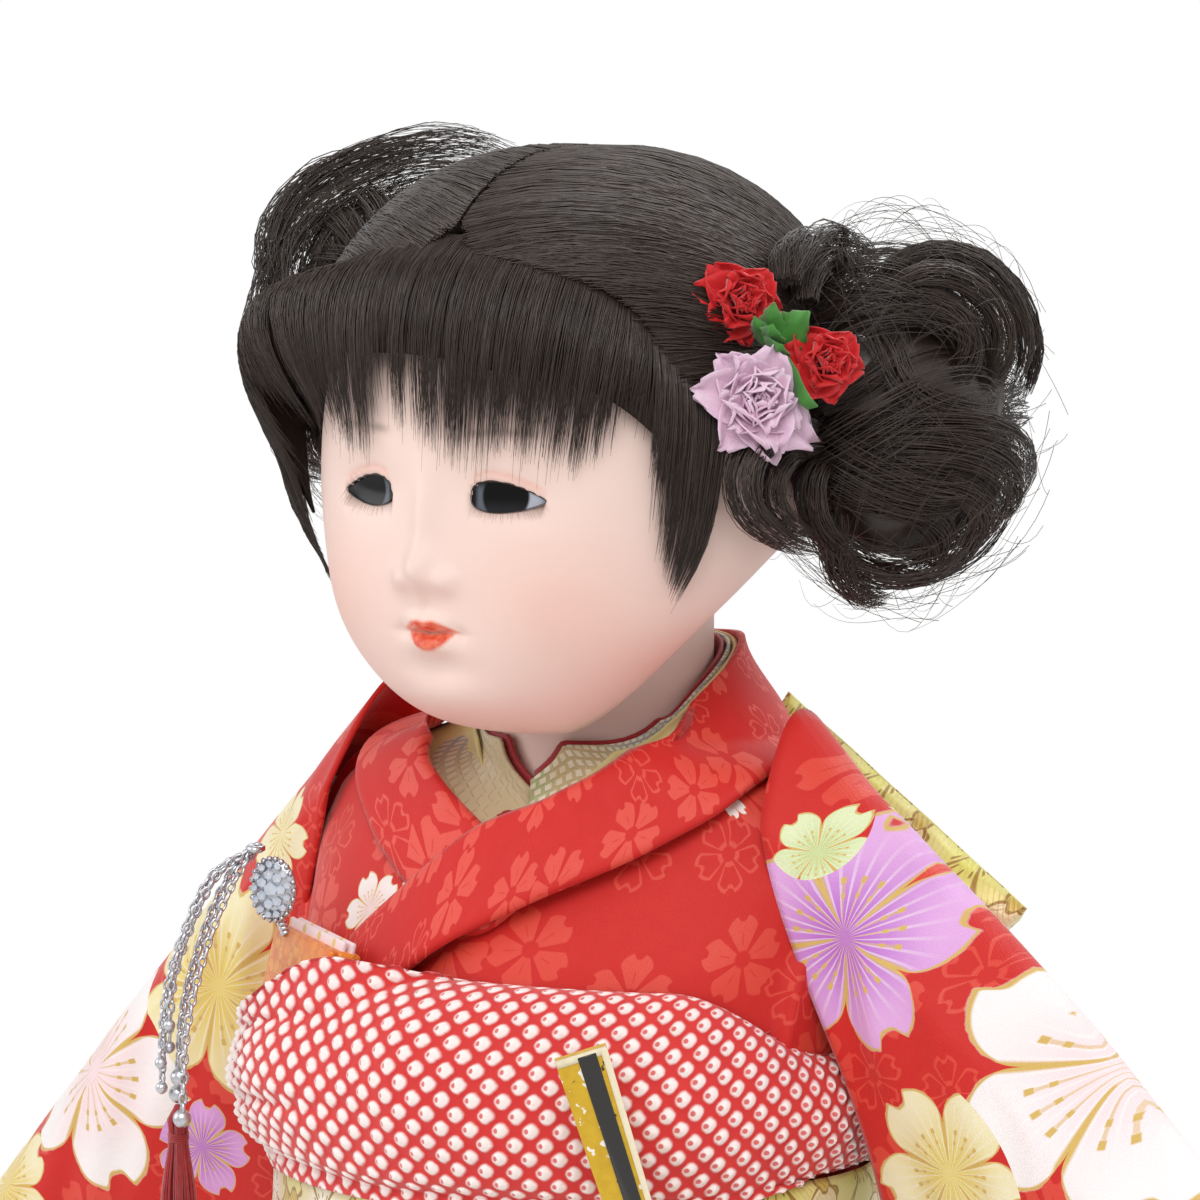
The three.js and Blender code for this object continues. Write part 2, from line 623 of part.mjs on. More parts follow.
// Kimono bodice in three panels: the left front ends along the line of its collar
const pastCentre = [[waistSeam, -140], [obiBend, -130], [chest(-31), -116], [chest(-13), -103],
  [crossingHeight, -90]];
const openNeck = [[crossingHeight, -90], [chest(7.5), -62], [chest(11.5), -42], [shoulderTop, -14]];
const leftEdge = (height) => along([...pastCentre, ...openNeck.slice(1)], height);
const seamGap = 0.35;
const rightEdge = (height) =>
  (height <= crossingHeight ? leftEdge(height) - seamGap * 2 : -180 - along(openNeck, height) - seamGap);
const bodiceHeights = [waistSeam, obiBend,
  ...[-41, -21, -6, 0, 4, 7.5, 11.5].map(chest), shoulderTop - 0.7];
const besideShoulder = (x) => point(x, -3, shoulderHeight);
const armHole = (side) => rod(besideShoulder(side * 40), besideShoulder(side * 70), armRadius + 1.2,
  undefined, 10);
const leftFront = bodyPanel(bodiceHeights, () => -seamGap, leftEdge, 8, 0, -clothThickness);
const rightFront = bodyPanel(bodiceHeights, () => -180 + seamGap, rightEdge, 7, 0, -clothThickness);
const backPanel = bodyPanel(bodiceHeights, () => seamGap, () => 180 - seamGap, 10, 0, -clothThickness);
place('kimono_left_front', cut(leftFront, armHole(1)), finishes.red);
place('kimono_right_front', cut(rightFront, armHole(-1)), finishes.red);
place('kimono_back', cut(backPanel, armHole(1), armHole(-1)), finishes.red);

// Nested collars: rings around the neck whose edges fall to a V in front
const mirroredTurn = (turn) => Math.abs(THREE.MathUtils.euclideanModulo(turn + 90, 360) - 180);
const bends = [chest(4), chest(11.5), shoulderTop];
const collarRows = (low, top) => [low, ...bends.map((bend, i) => {
  const share = (top - low) * 0.08;
  return Math.min(Math.max(bend, low + share * (i + 1)), top - share * (bends.length - i));
}), top];
function collarRing(tops, lows, outer, inner) {
  const turns = steps(20).slice(1).map((t) => -90 + t * 360);
  const rings = turns.map((turn) => {
    const fromBack = mirroredTurn(turn);
    const [top, low] = [along(tops, fromBack), along(lows, fromBack)];
    const side = (out) => collarRows(low, top).map((height) => onBody(turn, height, out, 0.15));
    return [...side(outer), ...side(inner).reverse()];
  });
  return skin(rings, true);
}
const layer = (k) => -clothThickness - 1.35 - k * 1.9;
const edgeAt = (heights) => [0, 90, 120, 150, 180].map((turn, i) => [turn, chest(heights[i])]);
const collarLow = (drop) => edgeAt([16.4, 16.4, 13.4, 6 - drop / 2, -2 - drop]);
const secondTops = edgeAt([24, 20.5, 16.4, 10.5, 2.5]);
place('second_collar', collarRing(secondTops, collarLow(3), layer(0), layer(0) - 0.6), finishes.cream);
const halfTops = edgeAt([24.3, 20.2, 16.8, 12.8, 8.4]);
const halfCollar = (extra) => collarRing(halfTops, collarLow(2), layer(1) + extra, layer(1) - 0.6 - extra);
place('half_collar', halfCollar(0), finishes.embroidered);
const innerTops = edgeAt([24.6, 20.6, 17.1, 13.6, 10.4]);
const innerCollar = collarRing(innerTops, collarLow(1), layer(2), layer(2) - 0.6);
place('inner_collar', largest(cut(innerCollar, halfCollar(0.15))), finishes.darkRed);

// Outer collar: one strip from under the crossing, around the nape and down over the right front
const collarLine = [
  // turn, upper edge and lower edge above the crossing, distance off the body
  [282, -3.5, -18, 2.2], [270, -0.5, -17, 2.2], [245, 7.5, -6, 2.2], [220, 14.5, 5, 2.6],
  [180, 20, 12.3, 3.2], [135, 23.5, 11.6, 2.6], [90, 24, 10.5, 2.7], [45, 23.5, 11.6, 2.6],
  [0, 20, 12.3, 2.7], [-40, 14.5, 5, 3.4], [-65, 7.5, -6, 4.4], [-78, 3.5, -12, 4.5],
  [-90, 0, -18.5, 4.5], [-98, -5.5, -24, 4.4], [-106, -11.5, -29.5, 3.8], [-116, -19, -35, 2.6],
].map(([turn, upper, lower, out]) => [turn, chest(upper), chest(lower), out]);
const collarPlaces = collarLine.map(([turn], i) => [i / (collarLine.length - 1), turn]);
const collarAt = (share) => {
  const [turn, top, low, out] = [0, 1, 2, 3].map((k) =>
    along(collarPlaces.map(([place], i) => [place, collarLine[i][k]]), share));
  return { turn, top, low, out };
};
const collarGrid = (lift) => steps(26).map((share) => {
  const { turn, top, low, out } = collarAt(share);
  return collarRows(low, top).map((height) => onBody(turn, height, out + lift));
});
const outerCollar = slab(collarGrid(0), collarGrid(-1.5));

// Arms: shoulder peg, padded arm, hand, sleeve and inner sleeve, made for the left and mirrored
const shoulder = point(shoulderPegInner, -3, shoulderHeight);
const armRoot = point(61, -3, shoulderHeight);
const wrist = point(sleeveReach - 25, -4, chest(-94));
const armWay = wrist.clone().sub(armRoot).normalize();
const armWhole = join(rod(shoulder, armRoot, shoulderPegRadius), ball(armRoot, armRadius * 0.96,
  armRadius * 0.96, armRadius * 0.96, 8, 6),
  rod(armRoot, wrist, armRadius, wristRadius, 10));
const wristBore = rod(wrist.clone().addScaledVector(armWay, -14), wrist.clone().addScaledVector(armWay,
  1), wristPegRadius + clearance);
const arm = cut(armWhole, wristBore);

function hand() {
  const finger = (x, length, lean) => ball(point(0, 0, 0), 1.9, 1.9, length * 0.66, 5, 3)
    .rotateY(lean).translate(x, -0.4, 23 + length * 0.36);
  const fingers = [[-4.9, 10, -0.1], [-1.7, 12, -0.03], [1.7, 11.4, 0.04], [4.8, 9.4, 0.12]];
  const palm = ball(point(0, 0, 17), 7.4, 4, 9, 7, 5);
  const thumb = ball(point(0, 0, 0), 2.2, 2.2, 7, 5, 4).rotateY(-0.5).rotateX(0.35).translate(-7, -2.4, 17);
  const forearm = rod(point(0, 0, clearance), point(0, 0, 14), wristRadius - 0.8, 5.2, 8);
  const peg = rod(point(0, 0, -13), point(0, 0, 3), wristPegRadius, undefined, 8);
  return join(peg, forearm, palm, thumb, ...fingers.map(([x, length, lean]) => finger(x, length, lean)));
}
const handTurn = new THREE.Quaternion().setFromUnitVectors(point(0, 0, 1), armWay);
const leftHand = hand().rotateZ(Math.PI / 2).applyQuaternion(handTurn).translate(wrist.x, wrist.y, wrist.z);

const sleeveRows = [0, 0.015, 0.05, 0.1, 0.18, 0.3, 0.5, 0.74, 0.97, 1];
function sleevePoint(across, down, side, inset) {
  const [innerTop, outerTop, innerLow, outerLow] = sleeveCorners.map(([x, z]) => point(x, 0, z));
  const top = innerTop.lerp(outerTop, across);
  const low = innerLow.lerp(outerLow, across);
  const drop = top.distanceTo(low);
  const place = top.clone().lerp(low, lerp(inset / drop, 1 - inset / drop, down));
  const full = lerp(sleeveHemHalf, sleeveArmHalf, Math.exp(-(((down - 0.1) / 0.26) ** 2)));
  const round = Math.min(1, Math.sqrt(down / 0.09), Math.sqrt((1 - down) / 0.03));
  const wave = sleeveFold * down * Math.sin(across * 9 + 0.6);
  return place.setY(-3 + wave + side * Math.max(full - inset, 0.4) * round);
}
function sleeve(from, to, outerInset, thickness) {
  const ring = (across, inset) => [
    ...sleeveRows.map((down) => sleevePoint(across, down, -1, inset)),
    ...sleeveRows.slice(1, -1).reverse().map((down) => sleevePoint(across, down, 1, inset)),
  ];
  const places = steps(4).map((t) => lerp(from, to, t));
  return skin([...places.map((s) => ring(s, outerInset)), ...[...places].reverse().map((s) =>
    ring(s, outerInset + thickness))], true);
}
const closedEdge = (at, inset, width) => skin([0.36, 0.5, 0.65, 0.8, 0.93].map((down) =>
  [[-1, 0], [1, 0], [1, width], [-1, width]]
  .map(([side, back]) => sleevePoint(at - back, down, side, inset))));
const outerSleeve = join(sleeve(0, 1, 0, 1.3), closedEdge(1, 0.6, 0.016));
const innerSleeve = sleeve(-0.02, 0.93, 2.8, 0.9);
[['left', (shape) => shape], ['right', mirror]].forEach(([side, turned]) => {
  place(`${side}_arm`, turned(arm), finishes.cotton);
  place(`${side}_hand`, turned(leftHand), finishes.gofun);
  place(`${side}_sleeve`, turned(outerSleeve), finishes.red);
  place(`${side}_inner_sleeve`, turned(innerSleeve), finishes.pale);
});

// Obi with its board, and the kanoko sash above it
const obiInner = obiBoardThickness + 2 * clearance + 0.1;
const obiOut = (turn, height) =>
  obiInner + obiThickness + obiSwell * Math.sin(((height - obiBottom) / obiHeight) * Math.PI);
const obiHeights = [obiBottom, obiBottom + 18, obiBend, obiTop];
place('obi', bodyBand(obiHeights, obiInner, obiOut, 36), finishes.brocade);
const boardInner = clearance + 0.1;
const boardHeights = [obiBottom + 4, obiBend, obiTop - 4];
place('obi_board', bodyPanel(boardHeights, () => -150, () =>
  -30, 12, boardInner + obiBoardThickness, boardInner), finishes.paper);

const purseTurn = -126;
const purseLean = 14;
const purseFoot = obiTop + 2;
const purseMiddle = onBody(purseTurn, purseFoot + purseHeight / 2, purseThickness / 2 + 1.6);
const seatPurse = (shape) => shape.rotateX(radians(-purseLean)).rotateZ(radians(purseTurn + 93))
  .translate(purseMiddle.x, purseMiddle.y, purseMiddle.z);
const purseBox = (extra, rise) => seatPurse(new THREE.BoxGeometry(purseWidth + extra * 2,
  purseThickness + extra * 2, purseHeight + extra * 2 + rise)
  .translate(0, 0, rise / 2));

// Purse: a flat wallet with rounded corners, its flap folded over the front
function purse() {
  const leaf = (width, height, radius, depth) => {
    const [w, h] = [width / 2, height / 2];
    const shape = new THREE.Shape().moveTo(-w + radius, -h).lineTo(w - radius, -h).quadraticCurveTo(w,
      -h, w, -h + radius)
      .lineTo(w, h - radius).quadraticCurveTo(w, h, w - radius, h).lineTo(-w + radius,
        h).quadraticCurveTo(-w, h, -w, h - radius)
      .lineTo(-w, -h + radius).quadraticCurveTo(-w, -h, -w + radius, -h);
    return new THREE.ExtrudeGeometry(shape, { depth, bevelEnabled: false,
      curveSegments: 3 }).rotateX(Math.PI / 2);
  };
  const body = leaf(purseWidth, purseHeight, 3, purseThickness - 1.4).translate(0, purseThickness / 2, 0);
  const flap = leaf(purseWidth - 0.8, purseHeight * 0.62, 2, 2.4).translate(0,
    1 - purseThickness / 2 + 1.4, purseHeight * 0.19 - 0.2);
  return seatPurse(join(body, flap));
}

function obiage() {
  const sections = steps(22).map((t) => {
    const turn = lerp(62, -242, t);
    const fromFront = Math.abs(turn + 90) / 152;
    const thick = lerp(obiageFront, obiageSide, Math.min(1,
      fromFront * 1.6)) + 3.5 * Math.exp(-(((turn + 140) / 26) ** 2));
    const beside = THREE.MathUtils.smoothstep(fromFront, 0.28, 0.54);
    const middle = obiageMiddle - 5 * beside;
    const tall = obiageHalfHeight * (1 - 0.4 * beside);
    return steps(9).slice(1).map((a) => {
      const angle = a * Math.PI * 2;
      const bulge = 0.5 + 0.5 * signedPower(Math.cos(angle), 0.8);
      const height = middle + tall * signedPower(Math.sin(angle), 0.85) - 2 * bulge;
      return onBody(turn, Math.max(height, obiTop + 1.2), lerp(0.9, thick, bulge));
    });
  });
  return cut(skin(sections), purseBox(0.4, 40), outerCollarTool);
}
const outerCollarTool = slab(collarGrid(0.4), collarGrid(-2.2));
const purseTravel = purseBox(0.4, 40);
place('outer_collar', cut(outerCollar, purseTravel), finishes.red);
place('obiage', obiage(), finishes.kanoko);
const bodiceTool = bodyBlock(bodiceHeights.slice(1), clearance + 0.2, 40);
place('box_purse', cut(purse(), bodiceTool), finishes.orange);

// Fan: folded leaves behind a lacquered guard, pinned together at the foot
const fanTop = onBody(-58, obiageMiddle + 6, obiageFront + 6.5);
const fanFootPlace = onBody(-33, waistSeam, 11);
const fanWay = fanTop.clone().sub(fanFootPlace).normalize();
const fanFoot = fanTop.clone().addScaledVector(fanWay, -fanLength);
const fanOut = point(0.62, -0.78, 0).addScaledVector(fanWay, -point(0.62, -0.78,
  0).dot(fanWay)).normalize();
const fanAcross = fanWay.clone().cross(fanOut);
function fanBar(inner, outer) {
  const ring = (centre, half) => [[-half, inner], [half, inner], [half, outer], [-half, outer]]
    .map(([x, y]) => centre.clone().addScaledVector(fanAcross, x).addScaledVector(fanOut, y));
  return skin([ring(fanFoot, fanWidth * 0.32), ring(fanTop, fanWidth / 2)]);
}
const rivetPlace = fanFoot.clone().addScaledVector(fanWay, 5);
const rivet = (radius, extra) => rod(rivetPlace.clone().addScaledVector(fanOut, -0.6 - extra),
  rivetPlace.clone().addScaledVector(fanOut,
    fanLeafThickness + fanGuardThickness + clearance + 0.6 + extra), radius, undefined, 10);
place('fan_leaves', cut(fanBar(0, fanLeafThickness), rivet(1.2 + clearance, 3)), finishes.gold);
const guardFace = fanLeafThickness + clearance;
place('fan_guard', cut(fanBar(guardFace, guardFace + fanGuardThickness), rivet(1.2 + clearance, 3)),
  finishes.black);
place('fan_rivet', rivet(1.2, 0), finishes.silver);

// Obi cord: a ring around the obi that passes over the fan, knotted in front
const cordShare = (fanTop.z - cordHeight) / (fanTop.z - fanFoot.z);
const fanAtCord = fanTop.clone().lerp(fanFoot, cordShare);
const fanTurn = THREE.MathUtils.radToDeg(Math.atan2(fanAtCord.y - bodyAt(cordHeight).middle, fanAtCord.x));
const cordRest = obiInner + obiThickness + obiSwell + cordRadius + clearance + 0.3;
const fanLift = fanAtCord.distanceTo(onBody(fanTurn, cordHeight,
  0)) + fanLeafThickness + fanGuardThickness + cordRadius + 1.4;
const cordOut = (turn) => {
  const past = THREE.MathUtils.euclideanModulo(turn - fanTurn + 180, 360) - 180;
  return lerp(cordRest, Math.max(cordRest, fanLift), Math.exp(-((past / 17) ** 4)));
};
const obiCord = skin(steps(30).slice(1).map((t) => {
  const turn = t * 360;
  const centre = onBody(turn, cordHeight, cordOut(turn));
  const outward = centre.clone().setZ(0).sub(point(0, bodyAt(cordHeight).middle, 0)).normalize();
  return steps(6).slice(1).map((a) => centre.clone()
    .addScaledVector(outward,
      cordRadius * Math.cos(a * Math.PI * 2)).setZ(cordHeight + cordRadius * Math.sin(a * Math.PI * 2)));
}), true);
const knotPlace = onBody(-90, cordHeight, cordRest + 0.6);
place('obi_cord', join(obiCord, ball(knotPlace, 6, 3.2, 4.4, 8, 6)), finishes.straw);

// Bow: two wings on a slant and a knot, held off the back by a pillow
const bowMiddle = point(0, 49, obiageMiddle - 7);
const bowWay = point(Math.sin(radians(bowTilt)), 0, Math.cos(radians(bowTilt)));
const bowAcross = point(bowWay.z, 0, -bowWay.x);
const knotHalf = 11;
function bowWing(side) {
  const stations = [[knotHalf + clearance, 15, 5], [22, 22, 6.5], [38, bowWidth * 0.43,
    bowThickness / 2], [bowLength / 2 - 3, bowWidth / 2 - 0.6, bowThickness / 2],
    [bowLength / 2, bowWidth / 2, 3]];
  return skin(stations.map(([far, half, thick]) => steps(20).slice(1).map((t) => {
    const a = t * Math.PI * 2;
    const ripple = 1.3 * Math.sin(3 * Math.PI * Math.cos(a)) * (far / bowLength);
    return bowMiddle.clone().addScaledVector(bowWay, side * far).addScaledVector(bowAcross,
      half * signedPower(Math.cos(a), 0.7))
      .add(point(0, thick * signedPower(Math.sin(a), 0.6) + ripple, 0));
  })));
}
const wingHeights = [obiBottom - 40, ...obiHeights.slice(0, 3), obiTop + 1];
const wingTool = bodyBlock(wingHeights, (turn, height) =>
  obiOut(turn, Math.max(height, obiBottom)) + 0.6, 40);
const cordTool = bodyBlock([cordHeight - 4, cordHeight + 4], cordRest + cordRadius + clearance + 0.3, 40);
place('bow_upper_wing', cut(bowWing(1), wingTool, cordTool), finishes.brocade);
place('bow_lower_wing', cut(bowWing(-1), wingTool, cordTool), finishes.brocade);
const knotRing = (offset) => steps(16).slice(1).map((t) => {
  const a = t * Math.PI * 2;
  return bowMiddle.clone().addScaledVector(bowAcross, 17 * signedPower(Math.cos(a), 0.6))
    .addScaledVector(bowWay, offset).add(point(0, 8.6 * signedPower(Math.sin(a), 0.6), 0));
});
place('bow_knot', cut(skin([-knotHalf, -4, 4, knotHalf].map(knotRing)), wingTool), finishes.brocade);
const pillowPlace = onBody(90, obiageMiddle + 13, 4.2);
const knotTool = skin([-knotHalf - clearance, knotHalf + clearance].map((offset) => knotRing(offset)
  .map((p) => p.add(point(0, p.y < bowMiddle.y ? -clearance : clearance, 0)))));
const wingsTool = [bowWing(1), bowWing(-1)].map((wing) => wing.translate(0, -clearance, 0));
place('obi_pillow', cut(ball(pillowPlace, 20, 6, 8, 12, 8), bodiceTool, knotTool, ...wingsTool),
  finishes.cotton);

// Purse ornament: a jewelled disc on the purse, with chains and a tassel that hang from its ring
const discPlace = purseMiddle.clone().add(point(-8, 3.5, purseHeight / 2 + 7.5));
const discTurn = radians(purseTurn + 90);
const disc = (x, thick, z, lift) => new THREE.CylinderGeometry(1, 1, thick, 20).scale(x, 1, z)
  .translate(0, -lift, 0).rotateZ(discTurn).translate(discPlace.x, discPlace.y, discPlace.z);
const stem = rod(discPlace.clone().add(point(0.4, 0.4, -4)), purseMiddle.clone().add(point(-6.8, 4.2,
  purseHeight / 2 - 0.2)), 1.1, undefined, 8);
place('ornament_setting', join(disc(4.4, 2.2, 5.8, 0), stem), finishes.silver);
const stones = disc(3.8, 1.2, 5.2, 1.1 + clearance + 0.6);
place('ornament_stones', mergeVertices(stones.deleteAttribute('normal').deleteAttribute('uv')),
  finishes.crystal);
const chainTop = discPlace.clone().add(point(-2.6, -2, 7.4));
const chainFall = [[0, 0, 0], [-2.6, -3.6, -5], [-5, -8, -15], [-7, -11.6, -29], [-7.6, -12.4, -44]];
const strand = (shift, length) => cord(chainFall.map(([x, y, z]) => chainTop.clone()
  .add(point(x + shift * (z < 0 ? 1.9 : 0), y - shift * (z < 0 ? 1.7 : 0), z * length))), chainRadius, 5,
    2);
const chainRing = new THREE.TorusGeometry(1.8, 0.8, 5, 8).rotateZ(discTurn).translate(chainTop.x,
  chainTop.y, chainTop.z);
const strandEnd = (shift, length) => {
  const [x, y, z] = chainFall.at(-1);
  return chainTop.clone().add(point(x + shift * 1.9, y - shift * 1.7, z * length));
};
const strands = [[-1, 1], [0, 0.92], [1, 1.08]];
const balls = strands.map(([shift, length]) => ball(strandEnd(shift, length), 1.7, 1.7, 1.7, 5, 4));
place('ornament_chains', join(chainRing, ...strands.map(([shift, length]) =>
  strand(shift, length)), ...balls), finishes.silver);
const tasselTop = strandEnd(-1, 1).add(point(0, 0, -1.7 - clearance));
const tasselProfile = [[0, -30], [4.2, -30], [3.4, -14], [2.2, -6], [2.6, -3], [1.6, -0.4], [0, 0]];
const tassel = new THREE.LatheGeometry(tasselProfile.map(([r, z]) =>
  new THREE.Vector2(r, z)), 12).rotateX(Math.PI / 2);
tassel.deleteAttribute('normal').deleteAttribute('uv').translate(tasselTop.x, tasselTop.y, tasselTop.z);
place('tassel', mergeVertices(tassel), finishes.darkRed);

// Origin on the floor under the middle of the doll's box
const bounds = new THREE.Box3().setFromObject(doll);
const middle = bounds.getCenter(point(0, 0, 0));
doll.position.set(-middle.x, -middle.y, -bounds.min.z);

export default doll;
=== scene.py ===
import math
import random

import bmesh
import bpy
import numpy as np
from mathutils import Matrix, Vector


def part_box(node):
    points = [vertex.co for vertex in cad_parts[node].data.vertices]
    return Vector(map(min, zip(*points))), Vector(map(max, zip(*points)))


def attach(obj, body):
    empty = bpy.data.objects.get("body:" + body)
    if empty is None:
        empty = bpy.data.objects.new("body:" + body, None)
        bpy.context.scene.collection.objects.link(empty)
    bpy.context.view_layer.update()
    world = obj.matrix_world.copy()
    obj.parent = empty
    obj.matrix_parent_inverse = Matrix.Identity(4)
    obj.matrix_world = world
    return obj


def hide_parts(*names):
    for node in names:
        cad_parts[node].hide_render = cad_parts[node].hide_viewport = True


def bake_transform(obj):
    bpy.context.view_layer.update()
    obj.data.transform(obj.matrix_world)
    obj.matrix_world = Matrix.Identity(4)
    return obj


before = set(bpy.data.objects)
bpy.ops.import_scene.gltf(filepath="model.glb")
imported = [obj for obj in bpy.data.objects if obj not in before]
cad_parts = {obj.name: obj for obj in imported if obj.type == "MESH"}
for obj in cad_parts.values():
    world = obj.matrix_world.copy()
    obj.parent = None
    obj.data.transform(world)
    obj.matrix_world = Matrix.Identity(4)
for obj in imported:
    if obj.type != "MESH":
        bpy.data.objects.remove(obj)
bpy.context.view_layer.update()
scene = bpy.context.scene
scene.view_settings.view_transform = "Standard"

# everything is modelled in millimetres about the neck axis, then put into the frame
plugLow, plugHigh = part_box("neck_plug")
shiftY = (plugLow.y + plugHigh.y) * 500
toFrame = Matrix.Translation((0, shiftY / 1000, 0)) @ Matrix.Scale(.001, 4)


def tint(code):
    parts = [int(code[i:i + 2], 16) / 255 for i in (0, 2, 4)]
    return tuple(c / 12.92 if c < .04045 else ((c + .055) / 1.055) ** 2.4 for c in parts) + (1,)


def ease(low, high, value):
    t = np.clip((value - low) / (high - low), 0, 1)
    return t * t * (3 - 2 * t)


def swell(value, power):
    return np.sign(value) * np.abs(value) ** power


def unit(way):
    way = np.asarray(way, float)
    return way / np.linalg.norm(way, axis=-1, keepdims=True)


# materials: a wire is a socket that can be added, multiplied and so on


class Wire:
    def __init__(self, finish, socket):
        self.finish, self.socket = finish, socket

    def __add__(self, other):
        return self.finish.math("ADD", self, other)

    def __radd__(self, other):
        return self.finish.math("ADD", other, self)

    def __sub__(self, other):
        return self.finish.math("SUBTRACT", self, other)

    def __rsub__(self, other):
        return self.finish.math("SUBTRACT", other, self)

    def __mul__(self, other):
        return self.finish.math("MULTIPLY", self, other)

    def __rmul__(self, other):
        return self.finish.math("MULTIPLY", other, self)

    def __truediv__(self, other):
        return self.finish.math("DIVIDE", self, other)

    def __pow__(self, other):
        return self.finish.math("POWER", self, other)


class Finish:
    def __init__(self, name, **sockets):
        self.material = bpy.data.materials.new(name)
        self.material.use_nodes = True
        self.tree = self.material.node_tree
        self.shader = self.tree.nodes["Principled BSDF"]
        for socket, value in sockets.items():
            label = socket.replace("_", " ").title().replace("Ior", "IOR")
            self.shader.inputs[label].default_value = value

    def put(self, socket, value):
        if isinstance(value, Wire):
            self.tree.links.new(value.socket, socket)
        else:
            socket.default_value = value

    def node(self, kind, *values, out=0, **settings):
        made = self.tree.nodes.new(kind)
        for key, value in settings.items():
            setattr(made, key, value)
        for key, value in values:
            self.put(made.inputs[key], value)
        return Wire(self, made.outputs[out])

    def math(self, operation, *values):
        return self.node("ShaderNodeMath", *enumerate(values), operation=operation)

    def step(self, value, low, high):
        return self.node("ShaderNodeMapRange", ("Value", value), ("From Min", low), ("From Max", high),
                         interpolation_type="SMOOTHSTEP")

    def mix(self, share, first, second):
        return self.node("ShaderNodeMix", (0, share), (6, first), (7, second), out=2, data_type="RGBA")

    def places(self, uv=None):
        # millimetres about the neck axis, or along and across the cloth
        if uv:
            spot = self.node("ShaderNodeUVMap", uv_map=uv)
        else:
            far = self.node("ShaderNodeTexCoord", out=3)
            spot = self.node("ShaderNodeMapping", (0, far), (1, (0, -shiftY, 0)), (3, (1000, 1000, 1000)))
        parts = self.tree.nodes.new("ShaderNodeSeparateXYZ")
        self.put(parts.inputs[0], spot)
        return [spot] + [Wire(self, part) for part in parts.outputs]

    def spot(self, x, y, z=0.0):
        return self.node("ShaderNodeCombineXYZ", (0, x), (1, y), (2, z))

    def noise(self, place, scale, detail=2, rough=.5):
        return self.node("ShaderNodeTexNoise", ("Vector", place), ("Scale", scale), ("Detail", detail),
                         ("Roughness", rough))

    def bump(self, height, strength, distance):
        made = self.node("ShaderNodeBump", ("Height", height), ("Strength", strength),
                         ("Distance", distance))
        self.put(self.shader.inputs["Normal"], made)

    def colour(self, value):
        self.put(self.shader.inputs["Base Color"], value)

    def rough(self, value):
        self.put(self.shader.inputs["Roughness"], value)


def mottled(name, first, second, tone, grain, strength, distance, **sockets):
    # two tints mixed by noise, with a grain of finer noise
    f = Finish(name, **sockets)
    spot = f.places()[0]
    f.colour(f.mix(f.noise(spot, *tone), tint(first), tint(second)))
    f.bump(f.noise(spot, *grain), strength, distance)
    return f


def blossom(f, x, y, radius, turn):
    # share of the radius, and how far inside the edge of five notched petals a place lies
    far = f.math("SQRT", x * x + y * y) / radius
    angle = f.math("ARCTAN2", y, x) + turn
    lobe = f.math("ABSOLUTE", f.math("COSINE", angle * 2.5))
    edge = .5 + lobe ** .5 * .5 - f.step(lobe, .93, 1) * .14
    return far, edge - far, angle


# mesh helpers


def newPiece(name, bm, smooth=True):
    bm.transform(toFrame)
    mesh = bpy.data.meshes.new(name)
    bm.to_mesh(mesh)
    bm.free()
    if smooth:
        mesh.shade_smooth()
    piece = bpy.data.objects.new(name, mesh)
    scene.collection.objects.link(piece)
    return piece


def dress(piece, finish, body, slot, *nodes):
    piece.data.materials.clear()
    piece.data.materials.append(finish.material)
    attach(piece, body)
    if nodes:
        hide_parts(*nodes)
    return piece


def turnOut(bm, heart):
    # faces of an open sheet point away from the heart, a point or a function of a place
    bm.normal_update()
    lean = 0
    for face in bm.faces:
        middle = face.calc_center_median()
        within = Vector(heart(middle) if callable(heart) else heart)
        lean += face.normal.dot(middle - within) * face.calc_area()
    if lean < 0:
        bmesh.ops.reverse_faces(bm, faces=bm.faces)


def sheetMesh(columns, rows, place, heart=None, weld=False):
    # a grid whose points are moved to place(u, v), which also gives their place on the cloth
    bm = bmesh.new()
    cloth = bm.loops.layers.uv.new("cloth")
    bmesh.ops.create_grid(bm, x_segments=columns, y_segments=rows, size=.5)
    flat = np.array([vert.co for vert in bm.verts])
    low, high = flat.min(0), flat.max(0)
    u, v = ((flat[:, k] - low[k]) / (high[k] - low[k]) for k in (0, 1))
    spots, threads = place(u, v)
    threads = np.stack([np.broadcast_to(part, u.shape) for part in threads], -1)
    bm.verts.index_update()
    for face in bm.faces:
        for loop in face.loops:
            loop[cloth].uv = threads[loop.vert.index]
    for vert, spot in zip(bm.verts, spots):
        vert.co = spot
    if weld:
        bmesh.ops.remove_doubles(bm, verts=bm.verts, dist=.002)
        bmesh.ops.recalc_face_normals(bm, faces=bm.faces)
    if heart is not None:
        turnOut(bm, heart)
    return bm


def thicken(piece, thickness, offset=-1.0):
    wall = piece.modifiers.new("cloth", "SOLIDIFY")
    wall.thickness = thickness / 1000
    wall.offset = offset
    return piece


